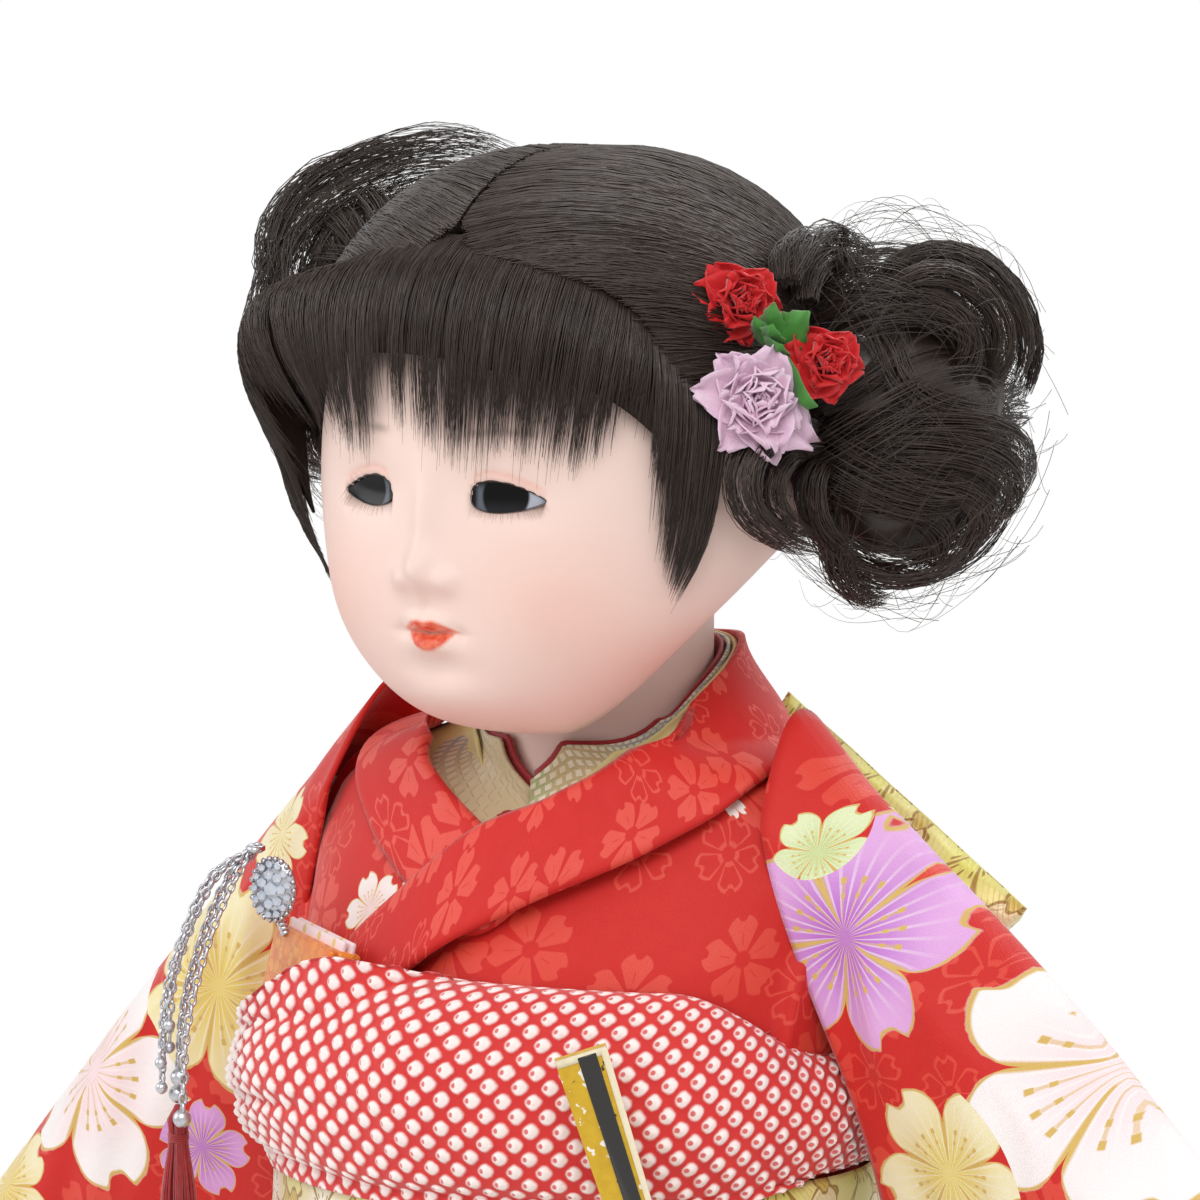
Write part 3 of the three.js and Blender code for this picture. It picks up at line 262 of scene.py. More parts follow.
def strands(name, paths, radii, sides=0):
    # thin tubes along lines of points, each point with its own radius
    curve = bpy.data.curves.new(name, "CURVE")
    curve.dimensions = "3D"
    curve.bevel_depth = 1
    curve.bevel_resolution = sides
    curve.use_fill_caps = True
    for path, radius in zip(paths, radii):
        line = curve.splines.new("POLY")
        line.points.add(len(path) - 1)
        line.points.foreach_set("co", np.c_[path, np.ones(len(path))].astype(np.float32).ravel())
        line.points.foreach_set("radius", np.asarray(radius, np.float32))
    holder = bpy.data.objects.new(name + "Line", curve)
    scene.collection.objects.link(holder)
    graph = bpy.context.evaluated_depsgraph_get()
    mesh = bpy.data.meshes.new_from_object(holder.evaluated_get(graph))
    bpy.data.objects.remove(holder)
    bpy.data.curves.remove(curve)
    mesh.name = name
    mesh.transform(toFrame)
    mesh.shade_smooth()
    piece = bpy.data.objects.new(name, mesh)
    scene.collection.objects.link(piece)
    return piece


def addBall(bm, centre, radii, turn=None, across=12, up=8):
    fresh = bmesh.ops.create_uvsphere(bm, u_segments=across, v_segments=up, radius=1)["verts"]
    move = Matrix.Translation(centre) @ (turn or Matrix.Identity(4)) @ Matrix.Diagonal((*radii, 1))
    bmesh.ops.transform(bm, matrix=move, verts=fresh)
    return fresh


def softCopy(name, node, voxel, smoothing):
    # the solid with its edges softened, as stuffed or lacquered pieces have
    bm = bmesh.new()
    bm.from_mesh(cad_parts[node].data)
    bmesh.ops.remove_doubles(bm, verts=bm.verts, dist=1e-6)
    mesh = bpy.data.meshes.new(name)
    bm.to_mesh(mesh)
    bm.free()
    piece = bpy.data.objects.new(name, mesh)
    scene.collection.objects.link(piece)
    remesh = piece.modifiers.new("skin", "REMESH")
    remesh.mode = "VOXEL"
    remesh.voxel_size = voxel / 1000
    soften = piece.modifiers.new("soft", "SMOOTH")
    soften.iterations = smoothing
    soften.factor = .5
    graph = bpy.context.evaluated_depsgraph_get()
    finished = bpy.data.meshes.new_from_object(piece.evaluated_get(graph))
    piece.modifiers.clear()
    piece.data = finished
    finished.shade_smooth()
    return piece


# camera, floor and light

view = dict(azimuth=36, elevation=6, distance=1000, target=(-.73, -.53, 369.7), lens=167.1)
turn, rise = math.radians(view["azimuth"]), math.radians(view["elevation"])
towards = Vector((math.sin(turn) * math.cos(rise), -math.cos(turn) * math.cos(rise), math.sin(rise)))
camera = bpy.data.objects.new("camera", bpy.data.cameras.new("camera"))
camera.data.sensor_width = 36
camera.data.lens = view["lens"]
camera.data.clip_start = .01
camera.location = toFrame @ (Vector(view["target"]) + towards * view["distance"])
camera.rotation_euler = towards.to_track_quat("Z", "Y").to_euler()
scene.collection.objects.link(camera)
scene.camera = camera

lampSettings = [
    # place in metres, size, watts
    ((.55, -1.1, 1.35), 1.1, 13.5),
    ((-1.15, -.75, .85), 1.2, 6.5),
    ((.9, .65, 1.1), .9, 6),
    ((-.3, .9, 1.3), .9, 6),
]
for number, (spot, size, watts) in enumerate(lampSettings):
    lamp = bpy.data.objects.new(f"lamp{number}", bpy.data.lights.new(f"lamp{number}", "AREA"))
    lamp.data.shape = "DISK"
    lamp.data.size = size
    lamp.data.energy = watts
    lamp.location = spot
    lamp.rotation_euler = (Vector((0, 0, .33)) - Vector(spot)).to_track_quat("-Z", "Y").to_euler()
    scene.collection.objects.link(lamp)

world = bpy.data.worlds.new("studio")
world.use_nodes = True
scene.world = world
sky = world.node_tree
sky.nodes.clear()
rays = sky.nodes.new("ShaderNodeLightPath")
seen = sky.nodes.new("ShaderNodeMath")
seen.operation = "MAXIMUM"
sky.links.new(rays.outputs["Is Camera Ray"], seen.inputs[0])
glossy = sky.nodes.new("ShaderNodeMath")
glossy.operation = "MULTIPLY"
glossy.inputs[1].default_value = .55
sky.links.new(rays.outputs["Is Glossy Ray"], glossy.inputs[0])
sky.links.new(glossy.outputs[0], seen.inputs[1])
level = sky.nodes.new("ShaderNodeMapRange")
level.inputs["To Min"].default_value = .5
level.inputs["To Max"].default_value = 1
sky.links.new(seen.outputs[0], level.inputs["Value"])
back = sky.nodes.new("ShaderNodeBackground")
back.inputs["Color"].default_value = (1, 1, 1, 1)
sky.links.new(level.outputs[0], back.inputs["Strength"])
out = sky.nodes.new("ShaderNodeOutputWorld")
sky.links.new(back.outputs[0], out.inputs[0])

floorSheet = bmesh.new()
bmesh.ops.create_circle(floorSheet, cap_ends=True, segments=96, radius=900)
floor = newPiece("floor", floorSheet)
floorFinish = Finish("paleFloor", roughness=.8)
floorTone = floorFinish.noise(floorFinish.places()[0], .004)
floorFinish.colour(floorFinish.mix(floorTone, tint("f4f3f1"), tint("efeeec")))
floor.data.materials.append(floorFinish.material)
print("camera and light ready")

# head: one surface formula for the skin, the hair and the flowers

head = dict(eyes=392, halfWidth=45, front=46.5, back=44, middle=-6, crown=54, chin=44, nape=20.4,
            taper=.294, neckRadius=19.5, neckSeat=336)
eyeShape = dict(apart=15.2, half=6.7, upper=3.1, lower=2.3, tilt=-.1, pocket=1.7)
faceForms = [
    # across, above the eyes, spread across, spread up, height
    # the nose: bridge, tip and wings
    (0, -4, 2.9, 8.5, 1.7), (0, -12.6, 3.7, 3.9, 3.9),
    (4.9, -14.4, 2.3, 2.2, 1.9), (-4.9, -14.4, 2.3, 2.2, 1.9),
    # the mouth: hollow above it, upper lip, lower lip, line and corners
    (0, -18.6, 1.1, 2.2, -.45), (1.8, -21.7, 2.6, 1.5, 1.35), (-1.8, -21.7, 2.6, 1.5, 1.35),
    (0, -25.9, 3.6, 1.7, 2.3), (0, -23.6, 5.6, .55, -1.15),
    (6.3, -23.6, 1.5, 1.5, -.7), (-6.3, -23.6, 1.5, 1.5, -.7),
    # the hollow above the chin, the chin, eye sockets, cheeks and brows
    (0, -30, 7, 2.5, -1.05), (0, -36.5, 9, 5, 1.7),
    (15.2, .5, 8.5, 4.4, -1.7), (-15.2, .5, 8.5, 4.4, -1.7),
    (23, -20, 12, 12, 1.9), (-23, -20, 12, 12, 1.9),
    (14, 10, 10, 4.5, .5), (-14, 10, 10, 4.5, .5),
]


def faceBump(x, up):
    return sum(h * np.exp(-((x - fx) / sx) ** 2 - ((up - fz) / sz) ** 2)
               for fx, fz, sx, sz, h in faceForms)


def onHead(lon, lat, off=0.0, face=False):
    ahead = swell(np.cos(lon), .91)
    jaw = ease(-.42, .87, ahead)
    power = 2 / np.where(lat < 0, 1.74 + 2.04 * jaw, 2.4)
    across = np.abs(np.cos(lat)) ** power
    tall = np.where(lat < 0, head["nape"] + (head["chin"] - head["nape"]) * jaw, head["crown"])
    up = swell(np.sin(lat), power) * (tall + off)
    narrow = 1 - head["taper"] * np.clip(-up / head["chin"], 0, 1) ** 1.5
    x = (head["halfWidth"] + off) * across * swell(np.sin(lon), .91) * narrow
    depth = (np.where(ahead > 0, head["front"], head["back"]) + off) * across * ahead
    bump = faceBump(x, up) * ease(0, .25, ahead) if face else 0
    return np.stack([x, head["middle"] - depth - bump, head["eyes"] + up], -1)


def headAlong(way, off=0.0):
    d = unit(way)
    return onHead(np.arctan2(d[..., 0], -d[..., 1]), np.arcsin(np.clip(d[..., 2], -1, 1)), off)


def onFace(x, up, off=0.0):
    # place on the front of the face at a distance across and above the eyes
    low = up < 0
    power = np.where(low, 2 / 3.78, 2 / 2.4)
    lat = np.arcsin(swell(np.clip(up / np.where(low, head["chin"], head["crown"]), -1, 1), 1 / power))
    across = np.cos(lat) ** power * (1 - head["taper"] * np.clip(-up / head["chin"], 0, 1) ** 1.5)
    lon = np.arcsin(swell(np.clip(x / (head["halfWidth"] * across), -1, 1), 1 / .91))
    spot = onHead(lon, lat, 0.0, True)
    spot[..., 1] -= off
    return spot


def eyeEdges(s):
    s = np.clip(s, -1, 1)
    upper = eyeShape["upper"] * ((1 + s) / .6) ** .42 * ((1 - s) / 1.4) ** .95
    lower = -eyeShape["lower"] * ((1 + s) / .9) ** .45 * ((1 - s) / 1.1) ** .85
    slant = eyeShape["tilt"] * s
    return upper + slant, lower + slant


def lipEdges(x):
    s = np.clip(np.abs(x) / 6, 0, 1)
    top = 2.5 * (1 - s ** 1.7) - .55 * np.exp(-(x / 1.1) ** 2)
    low = -3.3 * np.clip(1 - (np.abs(x) / 5.0) ** 2.2, 0, 1)
    return top - 23.4, low - 23.4


gofun = Finish("gofun", roughness=.4, specular_ior_level=.42)
paint = gofun.node("ShaderNodeAttribute", attribute_name="paint")
layers = gofun.tree.nodes.new("ShaderNodeSeparateColor")
gofun.put(layers.inputs[0], paint)
lipPaint, blushPaint, browAndShadePaint = (Wire(gofun, part) for part in layers.outputs)
spot = gofun.places()[0]
skin = gofun.mix(gofun.noise(spot, .09, 3) * .5, tint("f1dad0"), tint("eacdc1"))
skin = gofun.mix(blushPaint, skin, tint("ecb5a6"))
lipColour = gofun.mix(gofun.step(gofun.noise(spot, .8, 3), .3, .7), tint("ec7b5d"), tint("d6401f"))
# dark brown: the painted brows, and painted shade in the eye pockets and along the parting of the lips
skin = gofun.mix(browAndShadePaint, skin, tint("4e2f24"))
skin = gofun.mix(lipPaint, skin, lipColour)
gofun.colour(skin)
gofun.rough(.43 - lipPaint * .2 + gofun.noise(spot, 1.4) * .06)
gofun.bump(gofun.noise(spot, 2.2, 4), .05, .0004)

skinMesh = bmesh.new()
bmesh.ops.create_uvsphere(skinMesh, u_segments=340, v_segments=250, radius=1)
ball = np.array([vert.co for vert in skinMesh.verts])
lon = np.arctan2(ball[:, 0], -ball[:, 1]) / math.pi
lat = np.arcsin(np.clip(ball[:, 2], -1, 1)) / (math.pi / 2)
lon = math.pi * swell(lon, 1.45)
lat = (math.pi / 2) * (.62 * lat + .38 * lat ** 3)
places = onHead(lon, lat, 0.0, True)
x, up = places[:, 0], places[:, 2] - head["eyes"]
front = ease(0, .2, np.cos(lon))
s = (np.abs(x) - eyeShape["apart"]) / eyeShape["half"]
upperEdge, lowerEdge = eyeEdges(s)
inside = np.minimum(upperEdge - up, up - lowerEdge) * (np.abs(s) < 1) * front
inset = ease(0, .5, inside) * eyeShape["pocket"]
crease = np.exp(-((up - upperEdge - 1.5) / .42) ** 2) * ease(1.1, .75, np.abs(s)) * front
lidPuff = np.exp(-((up - upperEdge - .7) / .6) ** 2) * ease(1.05, .7, np.abs(s)) * front * (inside <= 0)
places[:, 1] += inset + crease * .32 - lidPuff * .3
lipTop, lipLow = lipEdges(x)
lips = ease(-.35, .45, np.minimum(lipTop - up, up - lipLow)) * (np.abs(x) < 6.1) * front
# painted shade along the parting of the lips: it is taken off the lip paint and laid in the dark brown
gap = np.exp(-((up + 23.35 + .25 * np.cos(x)) / .3) ** 2) * ease(5.2, 3.6, np.abs(x)) * front
sideways = np.abs(x)
blush = np.exp(-((sideways - 25) / 13) ** 2 - ((up + 19) / 12) ** 2) * .42
blush = blush + .12 * np.exp(-((up + 40) / 8) ** 2)
blush = blush + .3 * np.exp(-((sideways - 33) / 9) ** 2 - ((up + 33) / 9) ** 2)
blush = blush + .55 * crease + .3 * lidPuff
blush = blush + .22 * np.exp(-(x / 5) ** 2 - ((up + 16.5) / 1.8) ** 2)
browLine = 11.3 + 1.2 * np.cos((sideways - 15) / 7) - .9
brow = np.exp(-((up - browLine) / .75) ** 2) * ease(7, 10.5, sideways) * ease(24, 17, sideways)
# the painted brows, and painted shade on the pocket walls inside the eye openings
line = np.clip(brow * front * .42 + ease(.1, .6, inside) * .9, 0, 1)
lipTone, blushTone = lips * (1 - .55 * gap), np.clip(blush * front + .14, 0, 1)
browAndShadeTone = np.clip(line + .55 * gap * lips, 0, 1)
tone = np.stack([lipTone, blushTone, browAndShadeTone, np.ones(len(x))], -1)
toneLayer = skinMesh.verts.layers.float_color.new("paint")
for vert, place, shade in zip(skinMesh.verts, places, tone):
    vert.co = place
    vert[toneLayer] = shade
# the neck stands in its seat in the collar and runs up into the jaw
neckEdge = bmesh.ops.create_circle(skinMesh, cap_ends=False, segments=72,
                                   radius=head["neckRadius"] + .8)["verts"]
bmesh.ops.translate(skinMesh, verts=neckEdge, vec=(0, 0, head["neckSeat"] + .2))
edges = list({edge for vert in neckEdge for edge in vert.link_edges})
for rise, scale in ((3, .98), (5, .985), (8, 1), (14, 1), (14, 1.02), (8, .8)):
    grown = bmesh.ops.extrude_edge_only(skinMesh, edges=edges)["geom"]
    ring = [part for part in grown if isinstance(part, bmesh.types.BMVert)]
    edges = [part for part in grown if isinstance(part, bmesh.types.BMEdge)]
    bmesh.ops.scale(skinMesh, vec=(scale, scale, 1), verts=ring)
    bmesh.ops.translate(skinMesh, vec=(0, 0, rise), verts=ring)
    for vert in ring:
        vert[toneLayer] = (0, .2, 0, 1)
bmesh.ops.contextual_create(skinMesh, geom=edges)
bmesh.ops.recalc_face_normals(skinMesh, faces=skinMesh.faces)
headPiece = newPiece("head_skin", skinMesh)
dress(headPiece, gofun, "head", "gofun", "head")

# glass eyes, their dark rims and the fine lower lashes
irisShape = dict(radius=4.15, apart=14.6, rise=.45, front=.5)
rimFinish = Finish("lidRim", roughness=.5)
rimTone = rimFinish.noise(rimFinish.places()[0], 1.5)
rimFinish.colour(rimFinish.mix(rimTone, tint("1a100d"), tint("38221b")))
lashFinish = Finish("lashes", roughness=.6)
lashTone = lashFinish.noise(lashFinish.places()[0], 2)
lashFinish.colour(lashFinish.mix(lashTone, tint("8a6a5b"), tint("a98a7c")))
for name, side in (("left", 1), ("right", -1)):
    low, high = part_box(f"{name}_eye")
    centre = (np.array(low) + np.array(high)) * 500 - (0, shiftY, 0)
    glass = Finish(f"{name}EyeGlass", roughness=.16, specular_ior_level=.16)
    spot, ex, ey, ez = glass.places()
    across, tall = glass.math("ABSOLUTE", ex), ez - head["eyes"]
    away = glass.math("SQRT", (across - irisShape["apart"]) ** 2 + (tall - irisShape["rise"]) ** 2)
    # the eye white carries painted shade: darker towards the inner side, near black in the inner corner,
    # darker in the outer corner and under the upper lid
    white = glass.mix(glass.step(across, 14, 18.6), tint("5d6169"), tint("a9adb8"))
    white = glass.mix(glass.step(across, 10, 9), white, tint("141315"))
    white = glass.mix(glass.step(across, 20, 22.5), white, tint("4a4c55"))
    white = glass.mix(glass.step(tall, 1.2, 3.2), white, tint("26262a"))
    # on the far eye the outer side is painted shade as well
    if side < 0:
        white = glass.mix(glass.step(across, 17, 18.4), white, tint("1d1a1c"))
    # painted reflection: the iris grows lighter towards its lower part
    irisPaintedReflection = glass.step(tall + glass.noise(spot, .5) * .8, .8, -2)
    iris = glass.mix(irisPaintedReflection, tint("070607"), tint("242427"))
    outside = glass.step(away, irisShape["radius"] - .35, irisShape["radius"] + .25)
    glass.colour(glass.mix(outside, iris, white))
    glass.bump(glass.noise(spot, .6), .02, .0002)
    eyeMesh = bmesh.new()
    addBall(eyeMesh, centre + (0, 1.8, 0), (9, 9, 9), across=48, up=32)
    dress(newPiece(f"{name}_glass_eye", eyeMesh), glass, "head", "eye_glass", f"{name}_eye")

    def frontPlace(u, v):
        s = np.sin(math.pi * (u - .5)) * .998
        upper, lower = eyeEdges(s)
        up = lower - .1 + (upper - lower + .2) * v
        dome = 1.1 * v * (1 - v) * (1 - s * s)
        across = side * (eyeShape["apart"] + eyeShape["half"] * s)
        return onFace(across, up, dome - irisShape["front"]), (u * 15, v * 9)

    front = newPiece(f"{name}_eye_front", sheetMesh(40, 26, frontPlace, (0, -6, 392)))
    dress(thicken(front, .5), glass, "head", "eye_glass")
    share = np.linspace(-1, 1, 61)
    upperEdge, lowerEdge = eyeEdges(share)
    across = side * (eyeShape["apart"] + eyeShape["half"] * share)
    rims, sizes = [], []
    for edge, thick in ((upperEdge, .26), (lowerEdge, .05)):
        rims.append(onFace(across, edge, -.2))
        sizes.append(.05 + thick * np.clip(1 - share ** 4, 0, 1) * (.65 - .35 * share))
    rim = strands(f"{name}_lid_rim", rims, sizes, sides=2)
    dress(rim, rimFinish, "head", "gofun")
    dice = random.Random(41 + side)
    lashes, sizes = [], []
    for k in range(22):
        s0 = -.7 + 1.65 * k / 21 + dice.uniform(-.03, .03)
        drop = np.linspace(0, dice.uniform(1.2, 2.2), 4)
        x0 = side * (eyeShape["apart"] + eyeShape["half"] * (s0 + (.05 + .11 * s0) * drop / 1.2))
        lashes.append(onFace(x0, eyeEdges(np.full(4, s0))[1] - drop, .12 + .1 * drop))
        sizes.append(np.linspace(.036, .01, 4))
    dress(strands(f"{name}_lower_lashes", lashes, sizes), lashFinish, "head", "gofun")
print("head and eyes ready")

# hair

hairLook = dict(deep="17110f", warm="4b3b32", crownStrands=2350, fringeStrands=4000, bunLocks=13,
                lockStrands=64, curlStrands=106, farStrands=78, gap=1.8, thickness=4)
hairFinish = Finish("hair", roughness=.36, specular_ior_level=.5)
spot = hairFinish.places()[0]
tone = hairFinish.noise(spot, .16, 3) * .7 + hairFinish.noise(spot, 1.3, 2) * .5 - .15
hairFinish.colour(hairFinish.mix(tone, tint(hairLook["deep"]), tint(hairLook["warm"])))
hairFinish.rough(.32 + hairFinish.noise(spot, .5) * .16)
capFinish = Finish("hairCap", roughness=.72, specular_ior_level=.2)
spot, hu, hv, hw = capFinish.places("cloth")
streak = capFinish.noise(capFinish.spot(hu * 1.0, hv * .03), 2.2, 3)
capFinish.colour(capFinish.mix(streak, tint("120d0c"), tint("382b25")))
capFinish.bump(streak, .5, .0004)

edgeLine = np.array([(.1, -.76, .66), (.34, -.72, .62), (.62, -.6, .5), (.86, -.46, .14),
                     (.97, -.12, .04), (.94, .3, -.2), (.7, .6, -.42), (.1, .86, -.5)])
partingTurns = ([0, .14, .28, .43, .57, .71, .86, 1], [41, 36, 24, 6, -20, -52, -86, -118])


def curveAlong(points, share):
    # smooth line through points, which are evenly spread along it
    points = np.asarray(points, float)
    padded = np.vstack([2 * points[0] - points[1], points, 2 * points[-1] - points[-2]])
    place = np.clip(share, 0, 1) * (len(points) - 1)
    k = np.minimum(place.astype(int), len(points) - 2)
    t = (place - k)[..., None]
    a, b, c, d = (padded[k + n] for n in range(4))
    second = 2 * a - 5 * b + 4 * c - d
    third = 3 * b - a - 3 * c + d
    return .5 * (2 * b + (c - a) * t + second * t ** 2 + third * t ** 3)


def between(first, second, share):
    first, second = unit(first), unit(second)
    angle = np.arccos(np.clip((first * second).sum(-1, keepdims=True), -1, 1))
    share = np.asarray(share)[..., None]
    way = np.sin((1 - share) * angle) * first + np.sin(share * angle) * second
    return way / np.maximum(np.sin(angle), 1e-6)


def partingWay(f):
    turn = np.radians(np.interp(f, *partingTurns))
    return np.stack([np.full_like(turn, .006), -np.sin(turn), np.cos(turn)], -1)


def flipX(points, side):
    return points * np.array([side, 1, 1])


buns = dict(left=dict(side=1, rise=12, seed=5), right=dict(side=-1, rise=19, seed=8), half=(25, 28, 34),
            out=54, back=14)
for name in ("left", "right"):
    side, rise = buns[name]["side"], buns[name]["rise"]
    tieWay = unit((1, .42, rise / 52))
    outer = hairLook["gap"] + hairLook["thickness"]

    def capPlace(u, v):
        way = between(partingWay(u), curveAlong(edgeLine, u), v)
        rim = np.clip(np.minimum(np.minimum(v, 1 - v) / .05, np.minimum(u, 1 - u) / .03), 0, 1)
        return flipX(headAlong(way, outer - .6 - 2.6 * (1 - rim) ** 2), side), (u * 150, v * 90)

    cap = newPiece(f"{name}_hair_cap", sheetMesh(90, 60, capPlace, (0, -6, 395)))
    thicken(cap, 1.2)
    dress(cap, capFinish, "head", "hair", f"{name}_hair")
    # combed strands run from the parting and the rim to the tie at the side
    dice = random.Random(17 + side)
    paths, sizes = [], []
    t = np.linspace(0, 1, 11)
    for k in range(hairLook["crownStrands"]):
        lot = dice.random()
        sink = .4
        if lot < .52:
            start = partingWay(np.array([dice.random() ** .9]))[0]
        elif lot < .6:
            start = between(partingWay(np.zeros(1)), edgeLine[:1], np.array([dice.random()]))[0]
        else:
            start = curveAlong(edgeLine, np.array([dice.random()]))[0]
            sink = .1
        start = start + np.array([dice.gauss(0, .008) for _ in range(3)])
        start[0] = max(start[0], .004)
        aim = unit(tieWay + np.array([dice.gauss(0, .06) for _ in range(3)]))
        way = between(np.tile(start, (11, 1)), np.tile(aim, (11, 1)), t)
        bend = .04 * np.sin(math.pi * t)[:, None] * np.array([0, dice.gauss(0, .3), dice.gauss(0, .3)])
        lift = outer - .6 + dice.random() * .55 - sink * np.clip(1 - t / .07, 0, 1) ** 2
        lift = lift + .8 * t ** 6
        paths.append(flipX(headAlong(way + bend, lift), side))
        sizes.append(np.full(11, dice.uniform(.07, .14)))
    combed = strands(f"{name}_combed_hair", paths, sizes)
    dress(combed, hairFinish, "head", "hair")

# fringe: it springs from under the crown, stands off at the temples and ends above the brows
fringeLook = dict(rootShare=-.38, root=4.6, puff=9.5, tip=2.2, gapAt=.445)
fringeSets = [
    # root and end of a hair, from the middle to the left
    ((0, -.8, .58), (0, -.99, .13)), ((.32, -.78, .54), (.31, -.94, .085)),
    ((.6, -.66, .42), (.6, -.78, .09)), ((.8, -.54, .25), (.83, -.58, -.06)),
    ((.9, -.4, .12), (.88, -.5, -.24)),
]
flip = [tuple((-p[0], p[1], p[2] + .045 * (p[2] > .06)) for p in pair)
        for pair in reversed(fringeSets[1:])]
fringeTops, fringeLows = (np.array([pair[k] for pair in flip + fringeSets]) for k in (0, 1))


def fringeLift(u, t):
    beside = np.abs(u - .5) * 2
    temple = np.exp(-((beside - .62) / .26) ** 2)
    full = np.where(u < .5, fringeLook["puff"] + 1.4, .6)
    puff = .8 + full * temple + 1.2 * np.exp(-(beside / .3) ** 2)
    arch = puff * np.sin(math.pi * np.clip(t, 0, 1) ** .85) * ease(0, .25, t)
    return fringeLook["root"] + arch - (fringeLook["root"] - fringeLook["tip"]) * ease(.3, 1, t)


def fringeWay(u, t):
    root = fringeLook["rootShare"]
    return between(unit(curveAlong(fringeTops, u)), unit(curveAlong(fringeLows, u)),
                   root + (1 - root) * t)


def fringePlace(u, v):
    t = v * .66
    return headAlong(fringeWay(u, t), fringeLift(u, t) - 1.6), (u * 150, v * 40)


fringeBase = newPiece("fringe_base", sheetMesh(110, 20, fringePlace, (0, -6, 395)))
dress(thicken(fringeBase, .6), capFinish, "head", "hair", "fringe")
dice = random.Random(29)
clumps = sorted(dice.random() for _ in range(80))
t = np.linspace(0, 1, 10)
halves = {"left": ([], []), "right": ([], [])}
for k in range(hairLook["fringeStrands"]):
    u0 = dice.random()
    middle = min(clumps, key=lambda c: abs(c - u0))
    u1 = u0 + (middle - u0) * dice.uniform(.2, .9) + dice.gauss(0, .006)
    gapHere = math.exp(-((u0 - fringeLook["gapAt"]) / .016) ** 2)
    reach = dice.uniform(.74, 1.04) + .05 * math.sin(37 * middle) - .34 * gapHere
    reach += .1 * (dice.random() > .9)
    beside = abs(u0 - .5) * 2
    reach += .1 * max(0, beside - .8) * dice.random()
    notch = math.exp(-((beside - .6) / .07) ** 2)
    along = t * min(reach - .34 * notch, 1.12)
    u = u0 + (u1 - u0) * t ** 1.5
    stray = (dice.random() - .6) * 1.6 * np.sin(math.pi * np.clip(t, 0, .9))
    lift = fringeLift(u, along) + stray - .6 * np.clip(1 - t / .1, 0, 1)
    paths, sizes = halves["left" if u0 > .5 else "right"]
    paths.append(headAlong(fringeWay(u, along), np.maximum(lift, 1.2)))
    sizes.append(dice.uniform(.06, .12) * (1 - .8 * t ** 3))
for name, (paths, sizes) in halves.items():
    dress(strands(f"{name}_fringe_strands", paths, sizes), hairFinish, "head", "hair")
print("crown and fringe ready")

# curls seen from the front are laid one by one: across, up and towards the viewer from the bun's middle
viewAcross = np.array([.809, .588, 0])
viewUp = np.array([-.0614, .0845, .9945])
viewTowards = np.array([.5846, -.8046, .1045])
curls = [
    # width, looseness, line
    (2.8, .6, [(-6.3, 20.7, 9), (-2.1, 25.9, 10), (4.5, 28.7, 11), (11.6, 27.3, 10), (17.3, 23.1, 8),
               (20.6, 16.9, 6), (21.5, 10.3, 4), (19.2, 4.7, 2)]),
    (3.3, .5, [(-4.4, 19.3, 14), (-.2, 23.1, 16), (5.5, 24.5, 17), (11.1, 22.6, 16), (15.4, 18.3, 13),
               (17.3, 12.7, 11), (15.8, 7, 10), (11.6, 3.7, 10)]),
    (2.9, .5, [(-3, 16.9, 17), (.8, 19.3, 18), (5.5, 19.3, 18), (9.7, 16, 17), (11.1, 11.3, 16),
               (9.2, 6.6, 15), (4.5, 4.2, 15)]),
    (2.2, .8, [(5.5, 30.1, -2), (13, 28.7, -2), (19.2, 24, -2), (22.9, 16.9, -2), (23.6, 10.3, -2),
               (22, 4.2, -2)]),
    (3.0, .5, [(-5.8, 15, 17), (-3, 10.3, 19), (-1.1, 5.6, 20), (3.6, 1.8, 20), (10.2, .4, 18),
               (15.8, .9, 14)]),
    (2.0, .6, [(-14.8, .9, 16), (-10.6, 3.3, 18), (-5.8, 6.6, 19), (-2.1, 11.3, 19), (-1.1, 15, 19)]),
    (3.3, .5, [(-10.6, -2.9, 17), (-4, -1.5, 19), (4.5, -1.5, 20), (13, -2.4, 18), (19.2, -5.2, 12),
               (21.5, -10, 6), (19.6, -15.1, 0)]),
    (3.3, .5, [(-11.5, -6.7, 17), (-4, -5.7, 19), (4.5, -5.7, 20), (12.5, -7.1, 18), (17.7, -10.4, 13),
               (18.7, -15.1, 8), (15.4, -18.9, 3)]),
    (3.3, .6, [(-11.5, -10.4, 16), (-4.9, -10, 18), (3.1, -10.4, 18), (10.2, -12.3, 16),
               (14, -16.1, 12), (13, -20.3, 8), (8.3, -22.7, 4)]),
    (3.1, .8, [(-11.5, -14.2, 14), (-5.8, -14.7, 16), (.8, -16.1, 15), (5.5, -19.4, 12),
               (5.5, -24.1, 8), (1.7, -27.9, 4)]),
    (4.0, .5, [(-16.7, -2.9, 12), (-22.8, -3.3, 13), (-27.1, -7.1, 12), (-28.7, -12.3, 10),
               (-27.1, -17.5, 9), (-21.9, -21.7, 8), (-15.8, -23.2, 7)]),
    (3.4, .5, [(-15.8, -5.7, 15), (-20.5, -6.7, 15), (-23.3, -10.4, 14), (-23.8, -15.1, 13),
               (-20.9, -18.9, 13), (-16.2, -20.8, 12)]),
    (3.2, .6, [(-13.4, -7.6, 16), (-16.2, -10.4, 16), (-16.7, -15.1, 15), (-14.8, -19.4, 14),
               (-11.5, -22.7, 12), (-7.7, -26, 10)]),
    (3.2, 1.6, [(-12.5, -17, 13), (-12.5, -22.7, 11), (-10.6, -27.9, 8), (-6.8, -31.2, 5),
                (-2.1, -31.2, 2)]),
    (4.2, 1.4, [(-20.9, 22.6, 2), (-20, 27.3, 2), (-16.2, 30.6, 1), (-11.5, 31.1, 1), (-7.7, 28.3, 2),
                (-6.3, 23.5, 4)]),
    (3.5, .9, [(-17.2, 19.3, 8), (-16.7, 24, 8), (-13.4, 27.3, 7), (-9.6, 26.4, 7), (-8.7, 22.1, 9)]),
]
